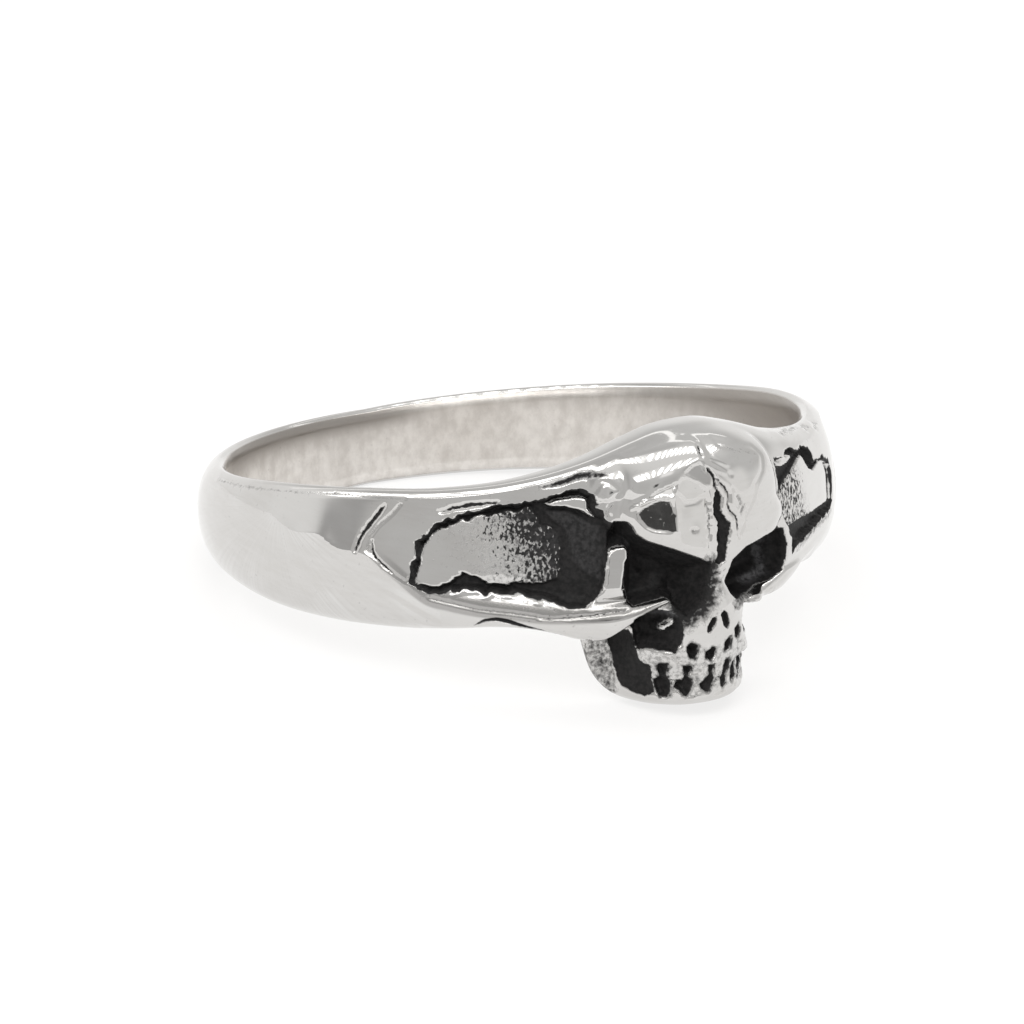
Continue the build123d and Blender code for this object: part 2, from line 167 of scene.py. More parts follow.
def band(bearing, height):
    """Thickness of the band and of the plate behind the face."""
    top = top_rim(bearing)
    low = curve(bearing, LOW_RIM)
    part = (height - (top + low) / 2) / ((top - low) / 2)
    square = mirrored(SQUARE)
    power = np.where(part > 0, curve(bearing, square, 1), curve(bearing, square, 2))
    share = curve(bearing, mirrored(WALL_SHARE))
    wall = band_wall + (skull_wall - band_wall) * share
    return np.where(np.abs(part) < 1, wall * oval(np.abs(part), power), -2.0)


def forehead(bearing, height):
    """Domed cranium, rounded over to the top rim."""
    power = 2.2
    away = np.abs(bearing / forehead_half_angle) ** power
    away = away + np.abs((height - forehead_height) / forehead_half_height) ** power
    dome = np.where(away < 1, np.clip(1 - away, 0, 1) ** (1 / power), 1 - away)
    top = top_rim(bearing) - 0.04
    over = np.clip((height - 1.2) / (top - 1.2), 0, 1)
    crest = (1 - over**5.0) ** (1 / 2.6)
    return np.where(height < top, (forehead_base + forehead_rise * dome) * crest, -2.0)


def brow(bearing, height):
    """Ridge over the eye sockets."""
    ridge = curve(bearing, BROW, 1)
    thickness = curve(bearing, BROW, 2)
    return thickness - 0.28 * ((height - ridge) / 0.60) ** 2 - 0.20 * above(np.abs(bearing), 14) ** 2


def cheek(bearing, height, table):
    """Cheekbone, running back into the shoulder of the band."""
    near = np.clip(bearing, table[0][0], table[-1][0])
    part = (height - curve(near, table, 1)) / curve(near, table, 3)
    thickness = curve(near, table, 2) - 0.30 * part**2 - 0.30 * above(np.abs(part), 1)
    thickness = thickness - 0.02 * (bearing - near) ** 2
    over = height - curve(bearing, LOW_RIM)
    thickness = thickness * oval(1 - np.clip(over / cheek_edge, 0, 1), 2.4)
    return np.where((np.abs(bearing) < 60) & (over > 0), thickness, -2.0)


def arch(bearing, half_width, depth):
    """Thickness out to an elliptical arch seen along the finger axis."""
    across = np.sin(np.radians(bearing))
    out = np.cos(np.radians(bearing))
    middle = jaw_centre_reach * np.tan(np.radians(jaw_bearing)) - 0.09
    a = (across / half_width) ** 2 + (out / depth) ** 2
    b = -2 * (middle * across / half_width**2 + jaw_centre_reach * out / depth**2)
    c = (middle / half_width) ** 2 + (jaw_centre_reach / depth) ** 2 - 1
    root = b * b - 4 * a * c
    reach = (-b + np.sqrt(np.clip(root, 0, None))) / (2 * a)
    return np.where(root > 0, reach, bore_radius - 0.9) - bore_radius


def jaw(bearing, height):
    """Arch of the teeth with the flange that carries it back to the bore."""
    low = curve(bearing, JAW_LOW)
    edge = oval(1 - np.clip((height - low) / 0.42, 0, 1), 2.6)
    front = arch(bearing, jaw_half_width, jaw_depth) * edge - 1.1 * above(height, -1.9) ** 2
    flange = jaw_flange * edge - 1.5 * above(height, -2.3)
    inside = ~beside_jaw(bearing) & (height > low) & (height < 1.5)
    return np.where(inside, blend(front, flange, 0.15), -2.0)


def nose(bearing, height):
    """Bridge of the nose, widening into the upper jaw."""
    near = np.clip(height, -3.6, 0.4)
    part = (bearing - curve(near, NOSE_MIDDLE)) / curve(near, NOSE_HALF)
    ridge = curve(near, NOSE_CREST) - 0.25 * part**2 - 0.25 * above(np.abs(part), 1) ** 2
    side = arch(bearing, jaw_half_width - 0.02, jaw_depth + 0.5)
    ridge = -blend(-ridge, -side, 0.15) - 2.0 * above(height, 0.4) - 1.2 * above(-height, 3.6)
    return np.where((height > -4.4) & (height < 0.8), ridge, -2.0)


def body(bearing, height):
    """Thickness of the casting over the bore before the recesses are sunk."""
    plate = band(bearing, height)
    front = blend(forehead(bearing, height), brow(bearing, height), 0.25)
    front = blend(front, cheek(bearing, height, LEFT_CHEEK), 0.12)
    front = blend(front, cheek(bearing, height, RIGHT_CHEEK), 0.12)
    upper = np.where(plate > -1, blend(plate, front, 0.12), plate)
    teeth = jaw(bearing, height)
    lower = np.where(teeth > -1, blend(teeth, nose(bearing, height), 0.10), -2.0)
    return blend(upper, lower, 0.08)


def distance_inside(bearing, height, outline):
    """How far a place lies inside a closed outline, in millimetres."""
    x, y = np.radians(bearing) * face_reach, height
    nearest, inside = np.full(x.shape, 1e9), np.zeros(x.shape, bool)
    for first, second in zip(outline, outline[1:] + outline[:1]):
        ax, ay = np.radians(first[0]) * face_reach, first[1]
        ex, ey = np.radians(second[0]) * face_reach - ax, second[1] - ay
        t = np.clip(((x - ax) * ex + (y - ay) * ey) / (ex * ex + ey * ey), 0, 1)
        nearest = np.minimum(nearest, (x - ax - t * ex) ** 2 + (y - ay - t * ey) ** 2)
        crossed = (ay > y) != (ay + ey > y)
        inside ^= crossed & (x < ax + (y - ay) / (ey if ey else 1e-9) * ex)
    return np.where(inside, np.sqrt(nearest), -np.sqrt(nearest))


def ease(x, low, high):
    t = np.clip((x - low) / (high - low), 0, 1)
    return t * t * (3 - 2 * t)


def solid_at(bearing, radius, height):
    """Whether a place is inside the casting before the bore is cut."""
    near = np.clip(1 - (radius - bore_radius) / bore_edge_width, 0, 1)
    rounding = bore_edge * near**2
    under_top = height < top_rim(bearing) - rounding
    over_low = height > low_rim(bearing) + rounding
    return under_top & over_low & (radius < bore_radius + body(bearing, height))


def points(bearing, radius, height):
    turn = np.radians(bearing)
    return np.stack([radius * np.sin(turn), -radius * np.cos(turn), height + 0 * radius], -1)


def tilted(spots, tilt):
    """The ring leaned back about the left to right axis."""
    c, s = np.cos(np.radians(tilt)), np.sin(np.radians(tilt))
    y = spots[..., 1] * c + spots[..., 2] * s
    z = -spots[..., 1] * s + spots[..., 2] * c
    return np.stack([spots[..., 0], y, z], -1)


# Outlines on the surface, bearing and height. The dark ones are blackened inside.
LEFT_SOCKET = [
    (-14.5, 0.36), (-15, -0.75), (-14, -1.52), (-11, -1.42), (-8.6, -1.36), (-7.3, -1.62), (-6, -2.05), (-4.6, -1.8),
    (-3, -1.45), (-2, -1), (-1.7, -0.35), (-3.5, -0.11), (-5.8, 0.14), (-7.9, 0.37), (-9.9, 0.55), (-11.6, 0.7),
    (-12.9, 0.93), (-13.4, 1.18), (-14, 1.34), (-15.3, 1.36), (-15.9, 1.37), (-16.3, 1.24), (-17.2, 0.95),
    (-17.4, 0.2),
]
RIGHT_SOCKET = [
    (16.1, 0.04), (12.5, 0.2), (8.5, 0.18), (4.2, 0.02), (1.8, -0.34), (1.1, -0.98), (1.5, -1.45), (2.9, -1.78),
    (5.6, -1.84), (9.3, -1.76), (13.2, -1.66), (16.3, -1.45), (17.4, -1.12), (17.5, -0.66),
]
LEFT_HOLLOW = [
    (-12.7, -2.42), (-14, -1.96), (-13.1, -1.83), (-11.6, -1.78), (-9.6, -1.82), (-7.8, -1.84), (-6.8, -2),
    (-6.5, -2.3), (-6.5, -2.66), (-6.7, -2.93), (-7.3, -3.04), (-7.7, -3.26), (-8.7, -3.15), (-9.4, -3.14),
    (-10, -3.12), (-11, -3.08), (-12, -3.17), (-12.6, -3.02),
]
RIGHT_HOLLOW = [
    (11, -2.4), (10.2, -2.18), (8.3, -2.12), (5.9, -2.12), (4.6, -2.3), (4, -2.6), (4.8, -2.98), (6.4, -3.05),
    (8.3, -3), (10.2, -2.95), (11, -2.7),
]
JAW_SIDE = [
    (-15.9, -2.75), (-13.2, -2.5), (-12.6, -2.77), (-12.4, -3.18), (-12.1, -3.5), (-11.5, -3.62), (-10.6, -3.66),
    (-10.3, -4.25), (-10.2, -4.63), (-11.4, -4.77), (-12.7, -4.69), (-14.2, -4.5), (-14.8, -4.19), (-15.1, -3.72),
    (-15.4, -3.34),
]
LEFT_TEMPLE = [
    (-48.9, -0.84), (-50.5, -0.55), (-50.3, -0.09), (-49.4, 0.3), (-49.2, 0.75), (-47.1, 1.06), (-45.5, 1.36),
    (-43.4, 1.51), (-41.4, 1.65), (-39.1, 1.79), (-36.3, 1.86), (-34.4, 1.96), (-31.3, 1.99), (-28.3, 2.12),
    (-25.4, 2.2), (-23.1, 2.32), (-20.3, 2.39), (-18.7, 2.2), (-18, 1.76), (-16.5, 1.24), (-16.1, 0.69), (-17, 0.09),
    (-17.6, -0.5), (-18.2, -0.96), (-20, -1.31), (-22.3, -1.46), (-24.4, -1.37), (-27.1, -1.17), (-30.7, -1.01),
    (-33.7, -0.92), (-36.7, -0.88), (-39, -0.83), (-40.6, -0.74), (-42.1, -0.76), (-44.1, -0.9), (-46.1, -0.93),
]
# Plates that stand up inside the panels at the temples
LEFT_PLATE = [
    (-49.6, -0.55), (-49.1, -0.08), (-48.6, 0.45), (-47.1, 0.88), (-44.7, 1.18), (-41.8, 1.43), (-39.1, 1.56),
    (-36.4, 1.65), (-34.1, 1.68), (-31.4, 1.72), (-28.9, 1.88), (-27.8, 1.5), (-26.4, 1.22), (-24.5, 1.01),
    (-23.8, 0.7), (-24.5, 0.33), (-24.2, -0.1), (-25, -0.56), (-29.6, -0.66), (-34.4, -0.64), (-37, -0.58),
    (-38.5, -0.35), (-40.4, -0.22), (-42.4, -0.33), (-44.1, -0.6), (-45.7, -0.74), (-47.5, -0.69), (-49, -0.7),
]
LEFT_SHARD = [
    (-26.7, 1.96), (-24, 2.1), (-20.4, 2.18), (-19.3, 2.08), (-19.2, 1.74), (-18.2, 1.46), (-18.6, 1.44),
    (-20.6, 1.67), (-22.7, 1.8), (-25.5, 1.83),
]
# Upright bar between the left temple and the left socket, free at its top
LEFT_BAR = [
    (-17.1, 0.15), (-16.9, 0.3), (-16.5, 0.4), (-15.5, 0.47), (-14.3, 0.47), (-13.9, 0.36), (-14, 0.09),
    (-14.7, -0.13), (-15, -0.37), (-15.3, -0.91), (-14.6, -1.28), (-13.8, -1.5), (-13.8, -1.75), (-21, -1.9),
    (-21, -1.42), (-19.6, -1.26), (-18.5, -0.99), (-17.8, -0.57), (-17.5, -0.14),
]
RIGHT_TEMPLE = [
    (14.5, 2.52), (15.7, 2.44), (18.4, 2.4), (21, 2.48), (22.8, 2.44), (24.2, 2.28), (27.1, 2.27), (29.7, 2.2),
    (31.2, 2.02), (32.1, 1.64), (34, 1.5), (37, 1.54), (40.3, 1.44), (42.8, 1.12), (44.1, 0.61), (44.4, -0.34),
    (41.8, -0.62), (35.2, -0.59), (30.2, -0.67), (24.4, -0.79), (20.7, -0.9), (19.4, -1.02), (18.4, -0.32),
    (16.6, 0.23), (15.3, 0.75), (14.9, 1.2), (15, 1.85), (14.6, 2.11),
]
RIGHT_PLATE = [
    (15.3, 1.2), (18.8, 1.55), (22.1, 1.74), (24.7, 1.92), (27.4, 1.98), (28.5, 1.76), (30, 1.42), (32.4, 1.22),
    (35, 1.3), (37.1, 1.36), (40.6, 1.2), (42.8, 0.98), (43.6, 0.5), (43.8, -0.28), (34.6, -0.16), (28, -0.08),
    (22.6, 0), (18.8, -0.04), (17, 0.3), (15.5, 0.8),
]
RIGHT_SHARD = [
    (15.5, 2.27), (17.5, 2.31), (20.5, 2.33), (22, 2.26), (21.7, 2.11), (19.4, 2.02), (17.3, 2.01), (16, 2.11),
]
FRONT_CRACK = [
    (-2.3, 2.95), (-1.5, 2.86), (-0.8, 2.6), (-0.8, 2.23), (0, 1.87), (-0.4, 1.46), (0.4, 1.14), (1.2, 0.91),
    (1, 0.54), (0.6, 0.26), (0.6, -0.09), (0.4, -0.36), (-0.4, -0.42), (-1.3, -0.34), (-1.1, -0.12), (-1.1, 0.4),
    (-1, 1.05), (-1.6, 1.36), (-1.7, 1.6), (-1.4, 1.92), (-1, 2.1), (-1.3, 2.3), (-1.2, 2.45), (-1.5, 2.67),
]
UNDERSIDE = [
    (-39.8, -2), (-37.7, -1.73), (-35.4, -1.66), (-33.3, -1.74), (-31.1, -1.91), (-28.5, -2.09), (-25.5, -2.33),
    (-22, -2.5), (-25.5, -2.37), (-28.5, -2.15), (-31.2, -2.03), (-33.3, -1.9), (-35.5, -1.79), (-37.4, -1.82),
]
NOSTRILS = [
    [(-3.1, -2.62), (-3.1, -2.4), (-2.4, -2.13), (-1.6, -2.09), (-1.7, -2.32), (-2.3, -2.55), (-2.7, -2.67)],
    [(-1, -2.06), (-0.3, -1.94), (0.4, -2.07), (0.8, -2.43), (0.5, -2.66), (-0.4, -2.47)],
]
# Gaps between the teeth, and the small round holes over them
TEETH = [
    [(-6.1, -3.05), (-5.4, -2.91), (-4.2, -3.03), (-4.1, -3.31), (-4.6, -3.54), (-5.6, -3.46), (-5.9, -3.25)],
    [(-3, -3.32), (-1.8, -3.16), (-1, -3.27), (-1.1, -3.52), (-1.9, -3.69), (-3, -3.52)],
    [(0.2, -3.17), (0.8, -3.02), (1.4, -2.92), (1.7, -3.12), (1.6, -3.39), (0.6, -3.49)],
    [(1.9, -2.69), (2.9, -2.52), (3.4, -2.77), (2.9, -3.12), (2.4, -3.02)],
    [(-10.1, -3.57), (-8.7, -3.55), (-8.4, -3.84), (-8.6, -4.04), (-8.1, -4.2), (-8, -4.53), (-8.5, -4.77),
     (-9.6, -4.77), (-10.1, -4.53), (-10.2, -4.22), (-9.5, -4.04)],
    [(-6.5, -3.71), (-4.8, -3.74), (-5.1, -3.94), (-5.5, -4.1), (-4.9, -4.27), (-5.1, -4.5), (-5.8, -4.78),
     (-6.3, -4.77), (-6.9, -4.58), (-7.8, -4.43), (-7.4, -4.25), (-6.3, -4.2), (-6, -4.04)],
    [(-2.3, -3.8), (-1.4, -3.8), (-1.6, -4.09), (-1.6, -4.33), (-2.2, -4.57), (-2.9, -4.72), (-3.8, -4.56),
     (-4, -4.4), (-2.9, -4.23), (-2.2, -4.1)],
    [(0.9, -3.77), (2, -3.75), (1.7, -4.05), (1, -4.25), (0.8, -4.49), (0.1, -4.66), (-0.4, -4.49), (-0.5, -4.3),
     (0.5, -4.12)],
    [(2.4, -3.9), (3.3, -3.88), (3.2, -4.2), (2.9, -4.45), (2.2, -4.58), (1.9, -4.38)],
    [(4.6, -3.66), (5.6, -3.66), (5.3, -4), (4.8, -4.28), (4.2, -4.56), (3.6, -4.5), (4.2, -4.1)],
    [(7, -3.5), (7.8, -3.5), (7.5, -3.9), (7, -4.4), (6.4, -4.5), (6.6, -4)],
]
BITE = [
    (-10.6, -4.18, 0.02), (-8.4, -4.22, 0.02), (-6.2, -4.2, 0.03), (-4.2, -4.26, 0.02), (-2.4, -4.24, 0.02),
    (0, -4.28, 0.02), (2.4, -4.2, 0.02), (5, -4.16, 0.02), (8, -4.12, 0.02),
]
# Bright point that hangs into the hollow from above
HEART = [
    (-7.5, -2.08), (-8.2, -2.13), (-8.7, -2.2), (-9.1, -2.32), (-9.1, -2.5), (-8.8, -2.46), (-8.3, -2.34),
    (-7.6, -2.22),
]
# Soot that runs from the left socket over the side of the nose into the hollow
BRIDGE = [
    (-7.6, -1.5), (-4.5, -1.1), (-2.4, -0.7), (-2.2, -0.4), (-1.9, -0.95), (-2.9, -1.5), (-4.6, -1.85), (-6.2, -2.1),
    (-7.6, -2),
]
# Smooth dark floor at the front end of the left temple
DARK_PANEL = [
    (-26.8, 1.75), (-22, 1.66), (-19, 1.3), (-17.6, 1.1), (-17.4, 0.1), (-18.4, -0.7), (-20.5, -0.4), (-22.4, 0),
    (-22.9, 0.6), (-23.2, 1.05), (-25.8, 1.44),
]
# Black crack between that floor and the plate: bearing, height, half width
TEMPLE_CRACK = [
    (-28, 1.82, 0.05), (-26.1, 1.49, 0.09), (-24.4, 1.08, 0.11), (-23.1, 0.67, 0.08), (-24.3, 0.34, 0.09),
    (-23.4, 0.07, 0.1), (-22.1, -0.21, 0.06),
]
# Crescent under the right socket where the black is drawn lighter as a painted highlight: bearing, height, half width
SOCKET_CRESCENT_HIGHLIGHT = [(14.5, -0.38, 0.05), (15, -1, 0.07), (14, -1.35, 0.08), (11.6, -1.5, 0.07), (8.9, -1.55, 0.05)]

# Lines on the surface: bearing, height, half width
CRACK_LINES = [
    [(-1.7, 3.57, 0.02), (-2.1, 3.45, 0.05), (-2.3, 3.26, 0.02)],
    [(-0.6, 2.48, 0.03), (0.6, 2.18, 0.035), (1.1, 1.92, 0.035), (0.9, 1.6, 0.03), (1.2, 1.35, 0.03),
     (2.3, 1.11, 0.03), (2.5, 0.76, 0.03), (2.6, 0.42, 0.02)],
    [(-2.6, 2, 0), (-2.5, 1.8, 0.02), (-2.4, 1.36, 0.02), (-2.4, 1.03, 0.025), (-2.4, 0.68, 0.02), (-2.6, 0.25, 0)],
    [(-44.6, 1.76, 0.01), (-42.3, 1.88, 0.05), (-39.1, 1.98, 0.06), (-36.6, 2.03, 0.05), (-34.4, 2.06, 0.03)],
    [(-55.2, 1.92, 0.03), (-56.1, 1.73, 0.07), (-57.9, 1.32, 0.07), (-59.4, 0.98, 0.06), (-60.5, 0.46, 0.05)],
    [(-57.4, 0.8, 0.02), (-57.2, 0.4, 0.045), (-55.6, 0.05, 0.035), (-53.5, -0.25, 0.02)],
    [(-26.5, 2.52, 0.01), (-23.7, 2.6, 0.05), (-20.5, 2.8, 0.06), (-18, 2.86, 0.02)],
    [(-28.5, -1.72, 0.01), (-25.3, -1.74, 0.02), (-20.9, -1.72, 0.025), (-17, -1.64, 0.02), (-14.6, -1.63, 0.01)],
]
# Faint dark veins and scratches
VEINS = [
    [(-52, 2, 0.01), (-53.6, 1.67, 0.02), (-56.4, 1.25, 0.02), (-57.9, 0.91, 0.03), (-58.2, 0.49, 0.04),
     (-54.8, -0.07, 0.03), (-51.3, -0.56, 0.01)],
    [(-104, 1.67, 0.01), (-94.5, 1.81, 0.03), (-82.2, 1.99, 0.02), (-64.8, 2.19, 0.02), (-51.1, 2.15, 0.01)],
    [(-46.9, -1.06, 0.01), (-38.2, -1.41, 0.015), (-32.6, -1.53, 0.015), (-28.7, -1.66, 0.015)],
    [(-15.9, 1.9, 0.02), (-16.6, 1.7, 0.03), (-16.5, 1.5, 0.02)],
    [(1.6, 3.45, 0.01), (3.4, 3.28, 0.02), (5, 3.12, 0.01)],
    [(5.2, 3.2, 0.01), (7, 2.98, 0.02), (8.3, 2.92, 0.01)],
    [(22.8, 2.84, 0.03), (27, 2.76, 0.06), (31, 2.66, 0.03), (35, 2.58, 0.02)],
    [(36.5, 2.44, 0.05), (38.5, 2.46, 0.06), (40, 2.42, 0.04)],
    [(42, 2.24, 0.05), (44.5, 2.3, 0.06), (46.5, 2.24, 0.03)],
    [(2.6, 1.8, 0.05), (3.6, 1.45, 0.08), (3.2, 1.25, 0.03)],
    [(15.4, 1.28, 0.02), (15.4, 1.02, 0.03), (16.2, 0.7, 0.02)],
    [(-1.5, -0.86, 0.03), (-1.1, -0.97, 0.04), (-1.4, -1.14, 0.03)],
    [(-4.9, 0.89, 0.04), (-4.7, 0.89, 0.04)],
]
# Shallow creases of the forehead
CREASES = [
    [(-14.8, 2.3, 0.02), (-15.9, 2.03, 0.03), (-16.6, 1.76, 0.03), (-16.6, 1.55, 0.02)],
    [(-18.2, 2.35, 0.02), (-17.2, 2.66, 0.04), (-16.1, 2.62, 0.03), (-15, 2.42, 0.02)],
    [(1.6, 3.62, 0.02), (4.9, 3.36, 0.03), (8.1, 3.16, 0.03), (9.3, 2.82, 0.03), (8.4, 2.41, 0.03), (6.4, 2.03, 0.03),
     (5.8, 1.67, 0.03), (3.9, 1.1, 0.03), (2.9, 0.56, 0.02)],
    [(-0.9, 3.02, 0.02), (0.4, 2.82, 0.03), (1.9, 2.52, 0.02)],
    [(1.9, 2.1, 0.02), (2.6, 1.75, 0.03), (2.9, 1.45, 0.02)],
    [(-7, 2.16, 0.01), (-5.8, 1.8, 0.02), (-4.2, 1.81, 0.02), (-3, 1.95, 0.01)],
]
# Low ridges beside its cracks
RIDGES = [
    [(-1, 3.22, 0.02), (0, 3.12, 0.04), (1.6, 2.88, 0.02)],
    [(-1.2, 2.93, 0.02), (0, 2.76, 0.04), (1.3, 2.62, 0.02)],
    [(-0.3, 2.5, 0.02), (1.2, 2.22, 0.03), (1.9, 1.9, 0.03), (1.7, 1.55, 0.03), (2.4, 1.3, 0.02)],
    [(1.6, 1, 0.02), (1.9, 0.7, 0.03), (1.7, 0.3, 0.02)],
]
# Dull wedge between the shoulder and the forehead
SHADE = [(-27, 2.48, 0.02), (-23.7, 2.6, 0.07), (-20.5, 2.79, 0.11), (-18, 2.88, 0.1), (-16.2, 2.86, 0.04)]
# Rugged bead along the lower edge of the left temple
LIP = [
    (-43.5, -0.98, 0.01), (-41.5, -0.85, 0.03), (-38.5, -0.93, 0.04), (-33.7, -1.01, 0.04), (-30.7, -1.1, 0.04),
    (-27.1, -1.26, 0.03), (-24.4, -1.45, 0.03), (-22.3, -1.54, 0.02), (-20, -1.42, 0.01),
]
# Edge between the flat shoulder and the rounded lower half of the band
SHOULDER_EDGE = [
    (-103.9, 1.7), (-93.8, 1.68), (-84.2, 1.66), (-79.8, 1.43), (-76.1, 1.02), (-73, 0.86), (-70.5, 0.9),
    (-67.3, 0.86), (-65.3, 0.58), (-63.8, 0.46), (-60.5, 0.42), (-56.6, 0.17), (-53, -0.31), (-50.5, -0.72),
    (-48.3, -1.02), (-43.8, -1.25), (-38, -1.45), (-32.6, -1.55), (-28.7, -1.67), (-24.7, -1.71), (-20.9, -1.72),
    (-17, -1.64), (-14, -1.56),
]
# Even rounding of the forehead: its lower and its upper edge
ROLL_LOW = [
    (-20, 2), (-16.5, 2.05), (-13.5, 2.08), (-11.9, 2.18), (-9.5, 2.38), (-6.8, 2.56), (-4.7, 2.66), (-2, 2.7),
    (2, 2.6),
]
ROLL_TOP = [
    (-20, 2.86), (-16.6, 3.17), (-14.3, 3.31), (-10.7, 3.52), (-7.3, 3.65), (-3.4, 3.77), (-0.7, 3.73), (2, 3.6),
]
# Flat plates over the left eye
DARK_FACET = [
    (-12.9, 1.63), (-12.7, 1.42), (-11.8, 1.13), (-10.7, 1), (-9, 0.94), (-7.2, 0.89), (-7.2, 1.48), (-7.7, 2.02),
    (-9.4, 2.09), (-10.8, 1.97), (-12.1, 1.82),
]
LIGHT_FACET = [
    (-6.9, 2.46), (-6, 2.68), (-4.7, 2.61), (-3.5, 2.46), (-2.4, 2.19), (-2.2, 1.81), (-2.5, 1.34), (-2.4, 1.05),
    (-2.7, 0.67), (-2.6, 0.38), (-3.2, 0.2), (-5.4, 0.4), (-7.1, 0.6), (-7.1, 0.86), (-7.1, 1.48), (-7.4, 2.05),
]
WHITE_FACET = [
    (-13.5, 1.76), (-11.9, 2.03), (-9.5, 2.33), (-6.9, 2.53), (-7.3, 2.19), (-7.9, 2.08), (-9.4, 2.15), (-11, 2.03),
    (-12.3, 1.87),
]
GREY_FACET = [
    (-5.4, 2.83), (-4.2, 3.02), (-2.7, 3.09), (-2.2, 2.79), (-1.6, 2.58), (-1.8, 2.26), (-2.7, 2.34), (-3.5, 2.5),
    (-4.7, 2.65),
]
# Wells: depth of the rim, depth of the floor, width of the rim, reach of the rounded floor
LEFT_TEMPLE_WELL = (0.34, 0.42, 0.1, 0.5)
RIGHT_TEMPLE_WELL = (0.28, 0.32, 0.1, 0.5)
# Recesses: their well, whether their edge is broken, their outlines
RECESSES = [
    ((0.54, 1.2, 0.2, 0.7), False, [LEFT_SOCKET, RIGHT_SOCKET]),
    ((0.4, 0.85, 0.18, 0.5), True, [LEFT_HOLLOW, RIGHT_HOLLOW]),
    ((0.15, 0.3, 0.15, 0.5), True, [JAW_SIDE]),
    ((0.16, 0.26, 0.06, 0.2), True, [FRONT_CRACK]),
    ((0.05, 0.1, 0.05, 0.1), False, [UNDERSIDE]),
    ((0.18, 0.32, 0.08, 0.2), False, NOSTRILS + TEETH),
]
# Flat plates: outline, then bearing, height and radius of the middle, then bearing and rise of the facing
FACETS = [
    (GREY_FACET, (-3.2, 2.66, 12.88), (-9, 22)),
    (WHITE_FACET, (-9.8, 2.15, 12.66), (-26, 21)),
    (DARK_FACET, (-10.1, 1.5, 12.64), (-31, 8.5)),
    (LIGHT_FACET, (-4.6, 1.45, 12.92), (-10.5, 3.5)),
]
BAR_FACET = (LEFT_BAR, (-16, -0.2, 12.02), (-23, 6.5))
# Stretches of bearing that fade in, are full and fade out
LEFT_SHOULDER = (-106, -90, -23, -14)
RIGHT_SHOULDER = (-106, -90, -60, -46)
FOREHEAD_ROLL = (-19.5, -16.5, -2.5, -0.5)
# Patches of the surface: the same for bearings, then for heights
CHEEK_BEVEL = (8, 12, 27, 36), (-2.6, -2.3, 8, 9)
GUMS = (-13.5, -12, 7, 9), (-4.95, -4.75, -3.2, -2.95)
RAIL = (-58, -50, -11, -8), (-0.28, -0.18, 0.3, 0.45)   # heights over the edge of the shoulder
# Stained patches, led by their strength: the flange, the teeth, the side of the nose
STAINS = [
    (0.5, (-23, -21, -15.2, -14.2), (-9, -8, -3.05, -2.75)),
    (0.3, (-13.2, -11.7, 8, 10), (-4.76, -4.55, -3.2, -2.95)),
    (0.62, (1, 2, 6, 9), (-2.2, -2, -1.8, -1.55)),
]
# Broken edges and hammered waves: depth, size of a wave, seed
TORN_EDGE = (0.16, 0.26, 3)
FINE_EDGE = (0.05, 0.12, 9)
WORN_EDGE = (0.08, 0.12, 9)
FACET_WAVES = (0.024, 0.75, 21)
GUM_WAVES = (0.13, 0.27, 31)
LIP_WAVES = (0.05, 0.16, 41)

shoulder_bevel = 0.24    # height of the bevel between the flat shoulder and the top rim
bevel_slope = 0.80       # of the underside of the right cheekbone, below the bevel's top
bevel_top = -1.45
bevel_wall = 0.35        # that the bevel leaves over the bore
ridge_height = 0.03
crack_depth = 0.07
crease_depth = 0.035
plate_depth = 0.12       # plates and shards inside the temples lie under the surface
plate_fall = 0.20        # the left one sinks further towards the face
dark_panel_depth = 0.30
shard_depth = 0.06
bar_edge_depth = 0.05
pits_slant = 2.5         # degrees of bearing per millimetre of height
pits_overlap = 0.12      # pits run on under the black edge of a plate
lip_height = 0.02
rail_grain = 0.35
# Share of painted shade that darkens the colour of the rail
rail_dullness = 0.85
fan_middle = (-78, 1.6)  # bearing and height from which the fine streaks of the band spread


def lattice(x, y, seed):
    """Steady random value for each cell of a grid."""
    mixed = np.sin(x * 127.1 + y * 311.7 + seed * 74.7) * 43758.5453
    return mixed - np.floor(mixed)


def noise(x, y, seed):
    """Smooth random field from 0 to 1."""
    cx, cy = np.floor(x), np.floor(y)
    tx, ty = x - cx, y - cy
    tx, ty = tx * tx * (3 - 2 * tx), ty * ty * (3 - 2 * ty)
    low = lattice(cx, cy, seed) * (1 - tx) + lattice(cx + 1, cy, seed) * tx
    high = lattice(cx, cy + 1, seed) * (1 - tx) + lattice(cx + 1, cy + 1, seed) * tx
    return low * (1 - ty) + high * ty


def waves(bearing, height, size, seed, finer):
    """Random waves about zero in two sizes, the second one finer and half as deep."""
    x, y = np.radians(bearing) * face_reach / size, height / size
    return (noise(x, y, seed) - 0.5) + 0.5 * (noise(finer * x, finer * y, seed + 1) - 0.5)


def jagged(bearing, height, amount, size, seed):
    """Bearing and height shifted a little, so that outlines get a broken edge."""
    sway, lift = (waves(bearing, height, size, first, 2.3) for first in (seed, seed + 2))
    return bearing + np.degrees(amount * sway / face_reach), height + amount * lift


def dimples(bearing, height, depth, size, seed):
    """Shallow hammered waves."""
    return depth * waves(bearing, height, size, seed, 2.1)


def line_inside(bearing, height, line):
    """Signed distance inside an open line that has a half width."""
    x, y = np.radians(bearing) * face_reach, height
    best = np.full(x.shape, -1e9)
    for first, second in zip(line, line[1:]):
        ax, ay = np.radians(first[0]) * face_reach, first[1]
        ex, ey = np.radians(second[0]) * face_reach - ax, second[1] - ay
        t = np.clip(((x - ax) * ex + (y - ay) * ey) / (ex * ex + ey * ey), 0, 1)
        away = np.sqrt((x - ax - t * ex) ** 2 + (y - ay - t * ey) ** 2)
        best = np.maximum(best, first[2] * (1 - t) + second[2] * t - away)
    return best


